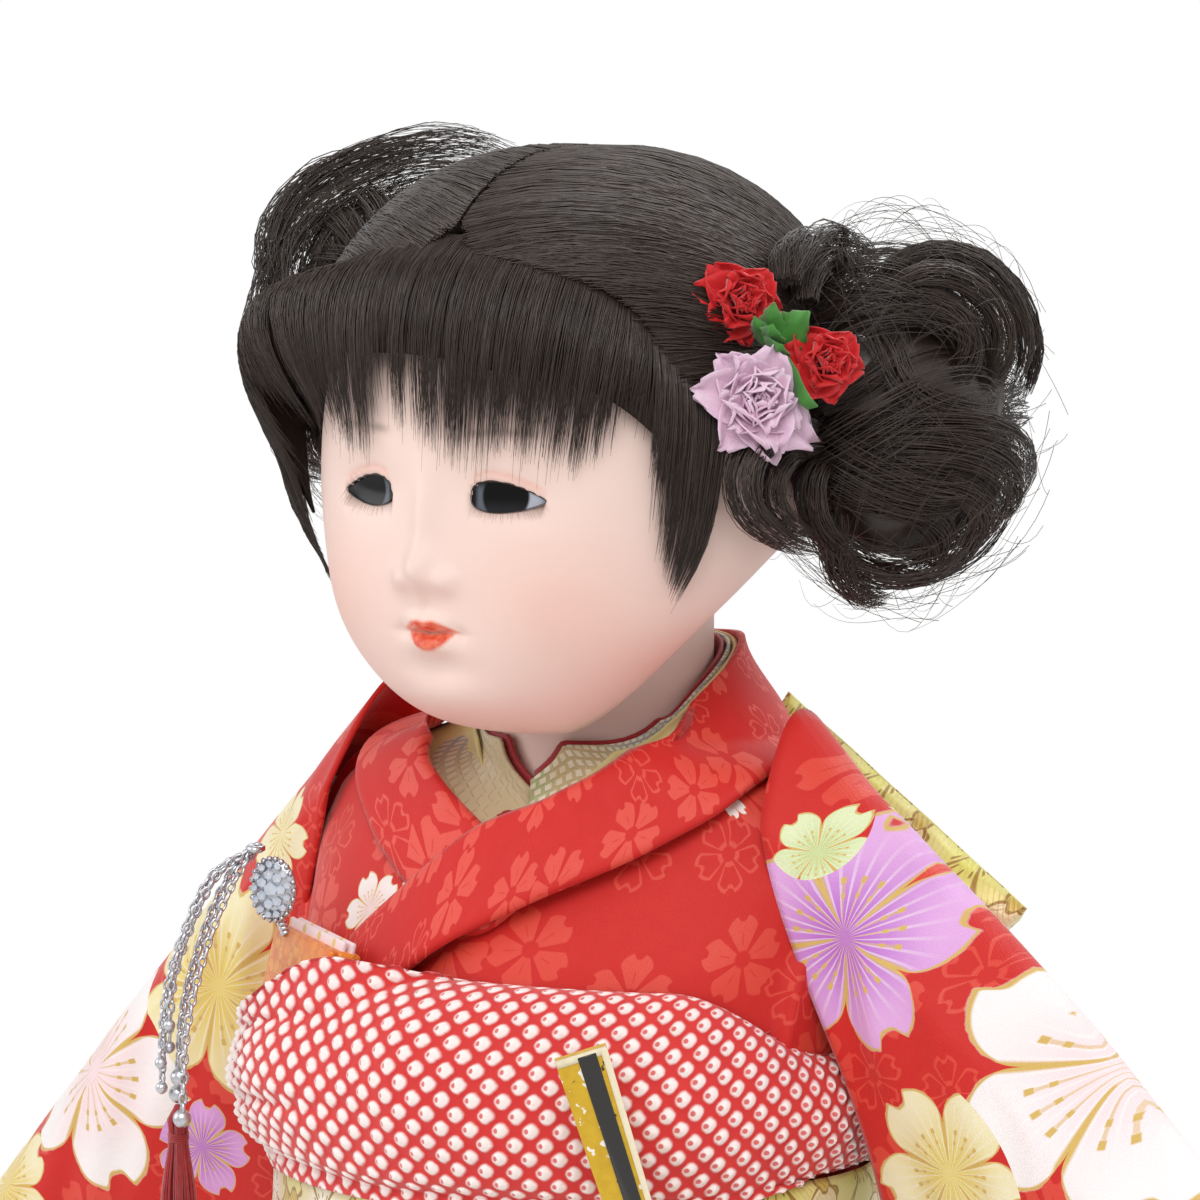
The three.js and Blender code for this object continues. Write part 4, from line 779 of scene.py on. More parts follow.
farCurls = [
    # more of them on the far bun, which shows above the crown
    (4.6, 2.0, [(-25, 8, 2), (-27.2, 17.7, 0), (-24, 27, -2), (-15.7, 34.4, -3), (-2.6, 39.5, -4),
                (10.4, 40.5, -5), (20, 37, -6)]),
    (4.6, 1.8, [(-21.3, 6, 6), (-23.1, 15.9, 4), (-19.4, 24.3, 2), (-10, 30.8, 0), (3, 34.4, -2),
                (16, 34.4, -4)]),
    (3.4, .9, [(-13.8, 6, 8), (-17.5, 14, 6), (-14.7, 22.4, 4), (-6.3, 27, 2), (4.9, 30, 0),
               (14.2, 30, -2)]),
    (3.4, .9, [(-26, 2, 5), (-23, 10, 5), (-15.8, 16.8, 5), (-6.5, 20.5, 4), (4, 24, 2)]),
    (4.2, 2.2, [(-28, 16, -4), (-26, 25, -6), (-19, 33, -7), (-8, 38, -8), (4, 40, -9)]),
    (4, 1.8, [(-27, -4, 3), (-29, 6, 2), (-27, 15, 1), (-21, 23, 0), (-12, 29, 0)]),
]


def fromView(start, across, up, towards):
    return start + across * viewAcross + up * viewUp + towards * viewTowards


def clearOfHead(spot, room):
    # moves a place towards the viewer until it lies outside the combed hair
    heart = np.array([0, head["middle"], head["eyes"]])
    off = hairLook["gap"] + hairLook["thickness"] + room
    for _ in range(90):
        way = spot - heart
        if np.linalg.norm(way) > np.linalg.norm(headAlong(way, off) - heart):
            break
        spot = spot + viewTowards * .5
    return spot


def bunPiece(name):
    facts = buns[name]
    side, rise = facts["side"], facts["rise"]
    dice = random.Random(facts["seed"])
    half = np.array(buns["half"])
    centre = np.array([buns["out"], buns["back"], head["eyes"] + rise])
    outward = unit((1, .3, .12))
    upward = unit(np.array([0, 0, 1]) - outward * outward[2])
    ahead = np.cross(upward, outward)
    core = bmesh.new()
    addBall(core, (0, 0, 0), half * .68, across=40, up=28)
    for vert in core.verts:
        way = vert.co.normalized()
        vert.co *= 1 + .05 * math.sin(7 * way.x + 5 * way.z) + .04 * math.sin(9 * way.y - 6 * way.z)
    bmesh.ops.translate(core, verts=core.verts, vec=centre)
    bmesh.ops.scale(core, vec=(side, 1, 1), verts=core.verts)
    bmesh.ops.recalc_face_normals(core, faces=core.faces)
    dress(newPiece(f"{name}_bun_core", core), hairFinish, "head", "hair", f"{name}_bun")

    def wayOut(polar, around):
        # way from the middle, by the angle from the bun's axis and the angle round it
        way = (np.sin(polar) * np.cos(around))[:, None] * upward
        way = way + (np.sin(polar) * np.sin(around))[:, None] * ahead
        return way + np.cos(polar)[:, None] * outward

    def addLock(spine, width, flat, spin, loose, count, paths, sizes):
        # hairs spread round a line, each with its own waver
        t = np.linspace(0, 1, len(spine))
        run = unit(np.gradient(spine, axis=0))
        beside = unit(np.cross(run, unit(spine - centre)))
        above = np.cross(beside, run)
        for k in range(count):
            a, r = dice.uniform(-math.pi, math.pi), math.sqrt(dice.uniform(.3, 1))
            turn = a + spin * t
            waverUp = loose * .5 * np.sin(t * dice.uniform(5, 16) + dice.uniform(0, 6.3))
            waverAside = loose * .5 * np.sin(t * dice.uniform(4, 12) + dice.uniform(0, 6.3))
            frizz = waverUp[:, None] * above + waverAside[:, None] * beside
            shiftAside, shiftUp = np.cos(turn) * r * width, np.sin(turn) * r * width * flat
            shift = shiftAside[:, None] * beside + shiftUp[:, None] * above
            stop = dice.uniform(.84, 1)
            path = spine + shift + frizz
            paths.append(np.stack([np.interp(t * stop, t, path[:, n]) for n in range(3)], -1))
            sizes.append(dice.uniform(.06, .12) * (1 - .6 * t ** 4))

    paths, sizes = [], []
    t = np.linspace(0, 1, 15)
    locks = hairLook["bunLocks"]
    for lock in range(locks):
        phase = 2 * math.pi * (lock + dice.uniform(-.25, .25)) / locks
        twist = dice.uniform(-1.3, 1.3)
        start, end = math.radians(dice.uniform(150, 168)), math.radians(dice.uniform(-25, 30))
        polar = start + (end - start) * t
        around = phase + twist * t ** 1.3
        loop = 1 + .08 * dice.random() - .35 * ease(.72, 1, t) + .06 * np.sin(math.pi * t * 2 + phase * 3)
        spine = wayOut(polar, around) * half * loop[:, None] * .77 + centre
        width = dice.uniform(6, 9) * np.interp(t, [0, .25, .6, 1], [.45, 1, 1, .35])
        addLock(spine, width, .55, dice.uniform(-1.6, 1.6), .7, hairLook["lockStrands"], paths, sizes)
    for k in range(260):
        # single loose hairs that stand off the bun
        phase, twist = dice.uniform(0, 6.3), dice.uniform(-1.6, 1.6)
        begin = dice.uniform(.4, 2.2)
        polar = begin + np.linspace(0, dice.uniform(.5, 1.4), 15)
        around = phase + twist * t
        far = .98 + dice.uniform(0, .13) + .05 * np.sin(t * dice.uniform(2, 6) + phase)
        paths.append(wayOut(polar, around) * half * far[:, None] + centre)
        sizes.append(.055 * (1 - .6 * t))
    mass = strands(f"{name}_bun_hair", [flipX(path, side) for path in paths], sizes)
    dress(mass, hairFinish, "head", "hair")
    paths, sizes = [], []
    laid = []
    for width, loose, line in curls:
        laid.append((width, loose, [clearOfHead(fromView(centre, *spot), width * .6) for spot in line]))
    if side < 0:
        far = flipX(centre, side)
        for width, loose, line in farCurls:
            laid.append((width, loose, [flipX(fromView(far, *spot), side) for spot in line]))
    count = hairLook["curlStrands"] if side > 0 else hairLook["farStrands"]
    share = np.linspace(0, 1, 13)
    for width, loose, points in laid:
        spine = curveAlong(points, share)
        width = width * np.interp(share, [0, .2, .75, 1], [.6, 1, 1, .45])
        addLock(spine, width, .6, dice.uniform(-1.4, 1.4), loose, count, paths, sizes)
    front = strands(f"{name}_bun_curls", [flipX(path, side) for path in paths], sizes)
    dress(front, hairFinish, "head", "hair")


for name in ("left", "right"):
    bunPiece(name)
print("buns ready")

# hair ornament: cloth roses and leaves on the pin

petalShape = dict(columns=8, rows=8)


def addPetal(bm, turn, length, width, lean0, lean1, cup, lift, pointed, dice):
    fresh = bmesh.ops.create_grid(bm, x_segments=petalShape["columns"], y_segments=petalShape["rows"],
                                  size=.5)["verts"]
    phase, tuck = dice.uniform(0, 6.3), dice.uniform(-.12, .12)
    for vert in fresh:
        u, v = vert.co.x * 2, vert.co.y + .5
        lean = lean0 + (lean1 - lean0) * v
        middle = (lean0 + lean) / 2
        outline = math.sin(math.pi * min(.97, .12 + .8 * v ** .9)) ** .5
        wide = width * (outline * (1 - pointed * v ** 5) + .02)
        ruffle = .09 * length * math.sin(6 * u + phase) * v * v
        ruffle += .05 * length * math.sin(11 * u - phase) * v ** 3
        tall = length * v * (1 - .16 * u * u * v + .05 * math.sin(7 * u + 2 * phase) * v)
        radial = tall * math.sin(middle) - cup * u * u * math.cos(lean) + ruffle * math.cos(lean)
        axial = lift + tall * math.cos(middle) + cup * u * u * math.sin(lean) - ruffle * math.sin(lean)
        vert.co = (u * wide + tuck * length * v * v, radial + .06 * length, axial)
    bmesh.ops.rotate(bm, verts=fresh, cent=(0, 0, 0), matrix=Matrix.Rotation(turn, 3, "Z"))


def rosePiece(name, radius, seat, rings, finish, slot):
    bm = bmesh.new()
    dice = random.Random(len(name))
    for count, length, width, lean0, lean1, cup, lift, pointed in rings:
        for k in range(count):
            turn = 2 * math.pi * (k + .37 * count + dice.uniform(-.22, .22)) / count
            size = radius * dice.uniform(.88, 1.1)
            addPetal(bm, turn, size * length, size * width, lean0 + dice.uniform(-.1, .1),
                     lean1 + dice.uniform(-.25, .2), radius * cup, radius * lift, pointed, dice)
    facing = Vector((0, 0, 1)).rotation_difference(Vector((.78, -.6, .16))).to_matrix().to_4x4()
    bmesh.ops.transform(bm, matrix=Matrix.Translation(seat) @ facing, verts=bm.verts)
    piece = thicken(newPiece(name + "_petals", bm), radius * .03, 0)
    return dress(piece, finish, "hair_ornament", slot, name)


def petalFinish(name, edge, deep):
    f = Finish(name, roughness=.62, sheen_weight=.35, sheen_roughness=.4)
    spot, x, y, z = f.places()
    f.colour(f.mix(f.noise(spot, .35, 3), tint(edge), tint(deep)))
    weave = f.math("SINE", x * 16) * f.math("SINE", z * 16)
    f.bump(weave * .5 + f.noise(spot, .8, 3) * 2, .25, .0005)
    return f


roseRed = petalFinish("roseRed", "e8141a", "b30a12")
rosePink = petalFinish("rosePink", "f3dcea", "dfb4d0")
redRings = [
    # petals, length, width, lean at the foot, lean at the edge, cup, lift, point
    (6, 1.1, .6, .8, 1.7, .2, 0, .3), (6, .95, .52, .45, 1.25, .22, .12, .3),
    (5, .8, .42, .15, .75, .24, .2, .25), (4, .65, .3, -.05, .35, .2, .26, .2),
    (3, .55, .2, -.15, .05, .16, .3, .1),
]
pinkRings = [
    (7, 1.15, .5, .95, 1.65, .2, 0, .25), (7, 1.0, .48, .65, 1.3, .22, .1, .2),
    (6, .85, .42, .35, .95, .24, .18, .2), (5, .7, .34, .1, .6, .22, .26, .15),
    (4, .55, .24, -.08, .25, .18, .3, .1),
]
flowerSpots = dict(red_rose_upper=(7.4, (42.5, -20.5, 425), redRings, roseRed, "rose_red"),
                   red_rose_lower=(6.8, (57.5, -16.5, 415), redRings, roseRed, "rose_red"),
                   pink_rose=(9.8, (48.5, -25, 408.6), pinkRings, rosePink, "rose_pink"))
for name, (radius, seat, rings, finish, slot) in flowerSpots.items():
    rosePiece(name, radius, seat, rings, finish, slot)

leafFinish = petalFinish("leafGreen", "4f9a3a", "256018")
leafMesh = bmesh.new()
leafWays = [((.2, -.5, .8), 8), ((.75, -.3, .6), 9.5), ((.35, -.7, .3), 7),
            ((.55, -.7, -.1), 7), ((.6, -.35, -.95), 13), ((-.1, -.7, .55), 6.5)]
for way, length in leafWays:
    fresh = bmesh.ops.create_grid(leafMesh, x_segments=6, y_segments=10, size=.5)["verts"]
    for vert in fresh:
        u, v = vert.co.x * 2, vert.co.y + .5
        wide = .36 * length * math.sin(math.pi * min(.999, v ** .8)) ** .8 * (1 + .12 * math.sin(v * 34))
        vert.co = (u * wide, .25 * length * v * v, length * v)
        vert.co.y += .14 * length * abs(u) - .03 * length * math.sin(9 * v)
    lean = Vector((0, 0, 1)).rotation_difference(Vector(way)).to_matrix().to_4x4()
    move = Matrix.Translation((50.8, -22, 417.5)) @ lean
    bmesh.ops.transform(leafMesh, matrix=move, verts=fresh)
leaves = thicken(newPiece("rose_leaf_blades", leafMesh), .35, 0)
dress(leaves, leafFinish, "hair_ornament", "leaf", "rose_leaves")

# cloth of the kimono

bodyRows = np.array([
    # height, half width, ahead, behind, middle
    (25, 50, 44, 42, -8), (60, 50, 44, 42, -8), (120, 53, 46, 43, -8), (180, 55, 49, 45, -8),
    (215, 53, 46, 42, -8), (262, 53, 45, 41, -8), (290, 56, 43, 40, -7), (310, 57, 38, 37, -5.5),
    (325, 57, 32, 33, -3.5), (335, 54, 27.5, 30, -2), (342.5, 44, 27, 28.5, -.5),
    (346.5, 28.5, 27, 28, 0),
], float)
fineHeights = np.arange(20, 352, .5)
fineRows = []
for k in range(1, 5):
    fine = np.pad(np.interp(fineHeights, bodyRows[:, 0], bodyRows[:, k]), 4, mode="edge")
    fineRows.append(np.convolve(fine, np.ones(9) / 9, "valid"))


def outlinePoint(turn, height):
    width, ahead, behind, middle = (np.interp(height, fineHeights, row) for row in fineRows)
    c, s = np.cos(np.radians(turn)), np.sin(np.radians(turn))
    return np.stack([width * c, middle + np.where(s < 0, ahead, behind) * s, height + 0 * c], -1)


def onBody(turn, height, out=0.0, lift=1.0):
    turn, height = np.broadcast_arrays(np.asarray(turn, float), np.asarray(height, float))
    around = outlinePoint(turn + 1, height) - outlinePoint(turn - 1, height)
    upward = outlinePoint(turn, height + .6) - outlinePoint(turn, height - .6)
    normal = unit(unit(np.cross(around, upward)) * np.array([1, 1, lift]))
    return outlinePoint(turn, height) + normal * np.asarray(out)[..., None]


def midline(place):
    return (0, -6, place.z)


def clothWeave(f, u, v, fine):
    # over and under of the threads
    return f.math("SINE", u * fine) * f.math("SINE", v * fine)


def paintBlossoms(f, spot, u, v, stamps, colour):
    # each place belongs to the blossom whose middle is nearest for its size
    for number, (sx, sy, radius, petalTint, heartTint) in enumerate(stamps):
        x, y = u - sx, v - sy
        away = (x * x + y * y) / radius ** 2
        if number == 0:
            best, middle, petal, heart = away, (sx, sy, radius), tint(petalTint), tint(heartTint)
            continue
        nearer = f.math("LESS_THAN", away, best)
        best = f.math("MINIMUM", best, away)
        middle = f.node("ShaderNodeMix", (0, nearer), (4, middle), (5, (sx, sy, radius)), out=1,
                        data_type="VECTOR")
        petal = f.mix(nearer, petal, tint(petalTint))
        heart = f.mix(nearer, heart, tint(heartTint))
    parts = f.tree.nodes.new("ShaderNodeSeparateXYZ")
    f.put(parts.inputs[0], middle)
    cx, cy, size = (Wire(f, part) for part in parts.outputs)
    far, depth, angle = blossom(f, u - cx, v - cy, size, cx * .37 + cy * .21)
    lobe = f.math("ABSOLUTE", f.math("COSINE", angle * 2.5))
    mask = f.step(depth + f.noise(spot, .35, 3) * .06 - .03, 0, .02)
    shade = f.mix(f.step(far, .1, .8) * (.7 + lobe * .3), heart, petal)
    rays = f.step(f.math("COSINE", angle * 35), .55, .9) * f.step(far, .9, .3) * .5
    shade = f.mix(rays, shade, tint("fffaf6"))
    rim = mask - f.step(depth, .03, .055)
    pips = f.step(f.math("COSINE", angle * 20), .5, .8)
    rings = f.math("MAXIMUM", f.step(f.math("ABSOLUTE", far - .46), .035, .02),
                   f.step(f.math("ABSOLUTE", far - .34), .03, .015))
    seam = f.step(lobe, .2, .08) * f.step(far, .12, .16)
    thread = f.step(f.math("COSINE", angle * 20), .7, .95) * f.step(far, .46, .42)
    thread = thread * f.step(far, .06, .1) * .6
    gold = f.math("MAXIMUM", f.math("MAXIMUM", rim, pips * rings), f.math("MAXIMUM", seam, thread))
    return f.mix(mask, colour, f.mix(gold, shade, tint("d9b864")))


def silkFinish(name, ground, figure, uv="cloth", stamps=(), size=17.0):
    # figured silk: woven blossoms, filled or in outline, and painted ones on top
    f = Finish(name, roughness=.55, sheen_weight=.25, sheen_roughness=.35, specular_ior_level=.35)
    spot, u, v, w = f.places(uv)
    if not uv:
        u, v = f.math("ABSOLUTE", u), w
        spot = f.spot(u, v)
    cells = f.tree.nodes.new("ShaderNodeTexVoronoi")
    cells.voronoi_dimensions = "2D"
    cells.inputs["Scale"].default_value = 1 / size
    cells.inputs["Randomness"].default_value = .5
    f.put(cells.inputs["Vector"], spot)
    heart = f.tree.nodes.new("ShaderNodeSeparateXYZ")
    f.tree.links.new(cells.outputs["Position"], heart.inputs[0])
    lot = f.tree.nodes.new("ShaderNodeSeparateColor")
    f.tree.links.new(cells.outputs["Color"], lot.inputs[0])
    luck = Wire(f, lot.outputs[0])
    x, y = u - Wire(f, heart.outputs[0]), v - Wire(f, heart.outputs[1])
    far, depth, angle = blossom(f, x, y, size * .4 + luck * (size * .08), luck * 6.28)
    lobe = f.math("ABSOLUTE", f.math("COSINE", angle * 2.5))
    petal = f.step(depth, 0, .05) * f.step(lobe, .3, .42) * f.step(far, .16, .22)
    inside = f.step(depth, .1, .16) * f.step(lobe, .5, .62) * f.step(far, .28, .34)
    filled = f.step(luck, .42, .43)
    vein = f.step(f.math("ABSOLUTE", f.math("SINE", angle * 2.5)), .14, .04)
    vein = vein * inside * f.step(far, .62, .52)
    woven = petal * (filled + (1 - filled) * (1 - inside)) - vein * .6 * filled
    woven = f.math("MINIMUM", f.math("MAXIMUM", woven, 0), 1)
    grain = f.noise(spot, .25, 3)
    colour = f.mix(woven * .8 + grain * .2 - .08, tint(ground), tint(figure))
    if stamps:
        colour = paintBlossoms(f, spot, u, v, stamps, colour)
    colour = f.mix(f.noise(spot, .03, 2) * .2, colour, tint("9a1214"))
    f.colour(colour)
    f.rough(.6 - woven * .18)
    f.bump(clothWeave(f, u, v, 14) * .35 + woven * .6 + grain * .3, .22, .0004)
    return f


bodiceSpots = [
    # along, height, radius, petals, heart
    (-97, 316, 7, "fbf3ef", "f4d9d6"), (-86, 322, 5.5, "fbf3ef", "f6dfdc"),
    (-31, 339, 3.4, "fdf6f2", "f3d3d0"),
]
redSilk = silkFinish("redSilk", "d0221b", "e44c3a", stamps=bodiceSpots)
collarSilk = silkFinish("collarSilk", "cf201b", "e75343", size=14.0)
lining = Finish("paleLining", roughness=.7, sheen_weight=.3)
spot, u, v, w = lining.places()
goldDot = lining.math("SQRT", (lining.math("FRACT", u / 7) - .5) ** 2
                      + (lining.math("FRACT", w / 7) - .5) ** 2)
pale = lining.mix(lining.noise(spot, .05, 3), tint("fbeeee"), tint("f3d3d8"))
lining.colour(lining.mix(lining.step(goldDot, .13, .09), pale, tint("e2c777")))
lining.bump(lining.noise(spot, 1.2, 4), .15, .0004)

# bodice: the left front laps over the right, with a tuck below the shoulder
bodice = dict(waist=222, top=345.8, cloth=1.2, tuck=2.6, radius=48)
leftEdgeRows = ([222, 262, 300, 318, 331, 338.5, 342.5, 346.5],
                [-140, -130, -116, -103, -90, -62, -42, -14])


def rumple(turn, height, size=1.0):
    wave = np.sin(turn * .11 + height * .05) * np.sin(height * .13 - turn * .04)
    wave = wave + .5 * np.sin(turn * .23 - height * .21)
    return size * .22 * wave * ease(345, 330, height)


def frontPanel(side):
    def place(u, v):
        height = bodice["waist"] + (bodice["top"] - bodice["waist"]) * v
        edge = np.interp(height, *leftEdgeRows)
        if side < 0:
            low = np.interp(height, leftEdgeRows[0][:5], leftEdgeRows[1][:5]) - .7
            high = -180 - np.interp(height, leftEdgeRows[0][4:], leftEdgeRows[1][4:]) - .35
            edge = np.where(height <= 331, low, high)
            start = -180.0
        else:
            start = 0.0
        turn = start + (edge - start) * u
        fold = np.interp(height, [280, 309, 337, 346], [-24, -20, -8, -4])
        away = turn - fold if side > 0 else (-180 - turn) - fold
        tuck = bodice["tuck"] * np.where(away > 0, np.exp(-away / 7), np.exp(away / .9))
        tuck = tuck * ease(270, 300, height) * ease(346, 338, height)
        spots = onBody(turn, height, rumple(turn, height) + tuck)
        return spots, (np.radians(turn) * bodice["radius"], height)
    return place


for name, side, node, width in (("left", 1, "kimono_left_front", .1),
                                ("right", -1, "kimono_right_front", .05)):
    panel = newPiece(f"{node}_cloth", sheetMesh(90, 110, frontPanel(side), midline))
    dress(thicken(panel, bodice["cloth"]), redSilk, "torso", "red_silk", node)


def backPlace(u, v):
    turn = 180 * u
    height = bodice["waist"] + (bodice["top"] - bodice["waist"]) * v
    seam = -.35 * np.exp(-((turn - 90) / 1.2) ** 2)
    spots = onBody(turn, height, rumple(turn, height) + seam)
    return spots, (np.radians(turn) * bodice["radius"], height)


back = newPiece("kimono_back_cloth", sheetMesh(120, 100, backPlace, midline))
dress(thicken(back, bodice["cloth"]), redSilk, "torso", "red_silk", "kimono_back")

# nested collars: they lean in on the neck, and end below the jaw for every turn of the head
collars = dict(low=(16.4, 16.4, 13.4, 6, -2), crossing=331, neck=(25.2, 23.7, 22.5, 21.3), turn=20)
underLon, underLat = np.meshgrid(np.radians(np.arange(-180, 180, 1.5)),
                                 np.radians(np.arange(-89, -5, 1.5)))
under = onHead(underLon.ravel(), underLat.ravel())
underTurn = np.degrees(np.arctan2(under[:, 1], under[:, 0]))
underFar = np.hypot(under[:, 0], under[:, 1])
jawLine = []
for angle in range(0, 360, 5):
    near = np.abs(np.mod(underTurn - angle + 180, 360) - 180) < 3.5
    jawLine.append(under[near & (underFar > 19) & (underFar < 27), 2].min())
reach = collars["turn"] // 5
jawLine = [min(jawLine[(k + n) % 72] for n in range(-reach, reach + 1)) for k in range(72)]
jawLine = [sum(jawLine[(k + n) % 72] for n in range(-3, 4)) / 7 for k in range(72)]
collarLine = np.array([
    # turn, upper and lower edge above the crossing, distance off the body
    (282, -3.5, -10.5, 2.2), (270, -.5, -17, 2.2), (245, 11.6, -6, 2.2), (220, 19.5, 5, 2.6),
    (180, 27, 12.3, 3.2), (135, 31, 11.6, 2.6), (90, 31.8, 10.5, 2.7), (45, 31.3, 11.6, 2.6),
    (20, 29, 12, 2.7), (0, 25.5, 12.3, 2.7), (-25, 21, 9.4, 3), (-45, 17.4, 3.5, 3.5),
    (-60, 14.2, -3.7, 4.2), (-72, 9.6, -9.2, 4.5), (-82, 5, -14.4, 4.5), (-92, .2, -20, 4.5),
    (-99, -5.5, -25, 4.4), (-106, -11.5, -29.5, 3.8), (-116, -19, -35, 2.6),
])


def belowJaw(turn):
    return np.interp(np.mod(turn, 360), np.arange(0, 365, 5), jawLine + jawLine[:1]) - 1.2


edgeTurns = np.arange(-92, 271, 2.0)
upperRows = collarLine[1:16][::-1]
edgeTops = np.interp(edgeTurns, upperRows[:, 0], upperRows[:, 1]) + collars["crossing"]
edgeTops = np.minimum(edgeTops, belowJaw(edgeTurns) - 2.6)
edgeTops = np.pad(edgeTops, 8, mode="reflect", reflect_type="odd")
edgeTops = np.convolve(edgeTops, np.ones(17) / 17, "valid")


def outerTop(turn):
    # upper edge of the outer collar, from the crossing round to the crossing
    return np.interp(turn, edgeTurns, edgeTops)


def collarEdge(heights, turn):
    fromBack = np.abs(np.mod(turn + 90, 360) - 180)
    return collars["crossing"] + np.interp(fromBack, [0, 90, 120, 150, 180], heights)


def hugNeck(spots, layer, share):
    # draws the upper edge of a collar in to the neck
    far = np.hypot(spots[:, 0], spots[:, 1])
    wish = np.minimum(far, collars["neck"][layer])
    scale = (far + (wish - far) * share) / np.maximum(far, 1e-6)
    return spots * np.stack([scale, scale, np.ones_like(scale)], -1)


def collarPiece(name, node, tops, drop, layer, finish, slot, width):
    lows = np.array(collars["low"]) - np.array([0, 0, 0, drop / 2, drop])

    def place(u, v):
        turn = -90 + 360 * u
        low = collarEdge(lows, turn)
        rise, limit = tops
        front = ease(112, 150, np.abs(np.mod(turn + 90, 360) - 180))
        top = np.minimum(outerTop(turn) + .4 + (rise - .4) * front, belowJaw(turn) - limit)
        height = low + (top - low) * v
        rest = np.minimum(height, 346)
        spots = onBody(turn, rest, -.5 - layer, .15)
        spots[:, 2] = height
        return hugNeck(spots, layer + 1, ease(0, .8, v)), (u * 190, v * width)

    piece = newPiece(name, sheetMesh(180, 16, place, midline, weld=True))
    return dress(thicken(piece, .6), finish, "torso", slot, node)


cream = Finish("creamCollar", roughness=.6, sheen_weight=.2)
spot, u, v, w = cream.places("cloth")
cream.colour(cream.mix(cream.noise(spot, .2, 3), tint("f0e3a8"), tint("d9c67c")))
cream.bump(clothWeave(cream, u, v, 12) + cream.noise(spot, .8), .2, .0004)
embroidered = Finish("embroideredCollar", roughness=.45, sheen_weight=.2)
spot, u, v, w = embroidered.places("cloth")
rows = v / 1.5 + u * .1
stitch = embroidered.math("FRACT", u / 1.7 + embroidered.math("FLOOR", rows) * .5)
stitch = embroidered.step(stitch, .3, .42) * embroidered.step(embroidered.math("FRACT", rows), .25, .38)
ground = embroidered.mix(embroidered.step(u, 12, 24), tint("cdb98a"), tint("9fb0bf"))
ground = embroidered.mix(embroidered.step(u, 5, 1), ground, tint("a9bd82"))
ground = embroidered.mix(embroidered.step(u, 160, 176), ground, tint("d8c8a2"))
ground = embroidered.mix(embroidered.noise(spot, .12, 3) * .5, ground, tint("b49a62"))
thread = embroidered.mix(embroidered.noise(spot, .3, 2), tint("f4efe0"), tint("d6c48c"))
embroidered.colour(embroidered.mix(stitch * embroidered.step(u, 184, 172), ground, thread))
embroidered.bump(stitch + embroidered.noise(spot, .9, 3) * .5, .5, .0005)
deepRed = Finish("deepRedCollar", roughness=.6, sheen_weight=.25)
spot, u, v, w = deepRed.places("cloth")
deepRed.colour(deepRed.mix(deepRed.noise(spot, .3, 4), tint("b3151b"), tint("8a0e14")))
deepRed.bump(clothWeave(deepRed, u, v, 13) + deepRed.noise(spot, .7), .25, .0004)
for name, node, tops, drop, layer, finish, slot, width in (
        ("cream_collar", "second_collar", (1.2, 1.7), 3, 0, cream, "collar_cream", 10),
        ("stitched_collar", "half_collar", (7.5, .6), 2, 1, embroidered, "collar_embroidered", 13),
        ("deep_collar", "inner_collar", (9, 0), 1, 2, deepRed, "collar_red", 13)):
    piece = collarPiece(name, node, tops, drop, layer, finish, slot, width)


def outerCollarPlace(u, v):
    turn, top, low, out = curveAlong(collarLine, u).T
    top = np.where((turn > -92) & (turn < 270), outerTop(turn), collars["crossing"] + top)
    low = collars["crossing"] + low
    height = low + (top - low) * v
    body = np.clip(np.minimum(v, 1 - v) / .1, 0, 1)
    spots = onBody(turn, np.minimum(height, 345), out - .9 * (1 - body) ** 2)
    spots[:, 2] += np.maximum(height - 345, 0)
    return hugNeck(spots, 0, ease(.1, 1, v) * ease(346, 352, top)), (u * 260, v * 17)


outer = newPiece("outer_collar_cloth", sheetMesh(220, 18, outerCollarPlace, midline))
dress(thicken(outer, 1.3), collarSilk, "torso", "red_silk", "outer_collar")
print("bodice and collars ready")

# sleeves

sleeve = dict(left=((58.6, 340), (159, 242), (84, 142), (164, 65)),
              right=((58.6, 339), (152, 236), (84, 142), (160, 64)),
              leftCrown=5, rightCrown=1, arm=16, hem=5, fold=3, cloth=.9)
lowerSpots = [
    # across, height, radius, petals, heart
    (104, 232, 19, "e0aee4", "bb6fce"), (138, 222, 16, "fbf3f2", "f6d3d8"),
    (92, 198, 15, "f7efc6", "ead36a"), (122, 186, 20, "fdf8f6", "f5d0d6"),
    (148, 172, 13, "f4e8b4", "e5c75a"), (104, 162, 14, "dcefb6", "b4cc74"),
    (136, 142, 18, "e3b6e6", "bf7ad0"), (112, 132, 14, "f7efc6", "ead36a"),
    (150, 106, 16, "fdf8f6", "f5d0d6"), (124, 102, 10, "dcefb6", "b4cc74"),
]
leftSpots = [
    (57, 331, 8, "e6f2c4", "c6dc92"), (64, 317, 21, "e6b2e8", "bd70d0"),
    (112, 299, 28, "fefcfb", "fbe3e6"), (84, 278, 17, "f6efc8", "ebd874"),
    (128, 256, 13, "f7efc6", "ead36a"), (90, 252, 9, "fdf6f4", "f5d6da"),
]
rightSpots = [
    (62, 324, 9, "f6efc8", "efe0a0"), (76, 294, 23, "f7eec0", "ecd465"),
    (107, 275, 24, "fefcfb", "fbdfe3"), (84, 262, 10, "e2a8e4", "b765cb"),
    (130, 250, 13, "f7efc6", "ead36a"),
]
sleeveSilks = {}
for name, spots in (("left", leftSpots), ("right", rightSpots)):
    sleeveSilks[name] = silkFinish(f"{name}SleeveSilk", "d0221b", "e44c3a", uv=None,
                                   stamps=lowerSpots + spots)


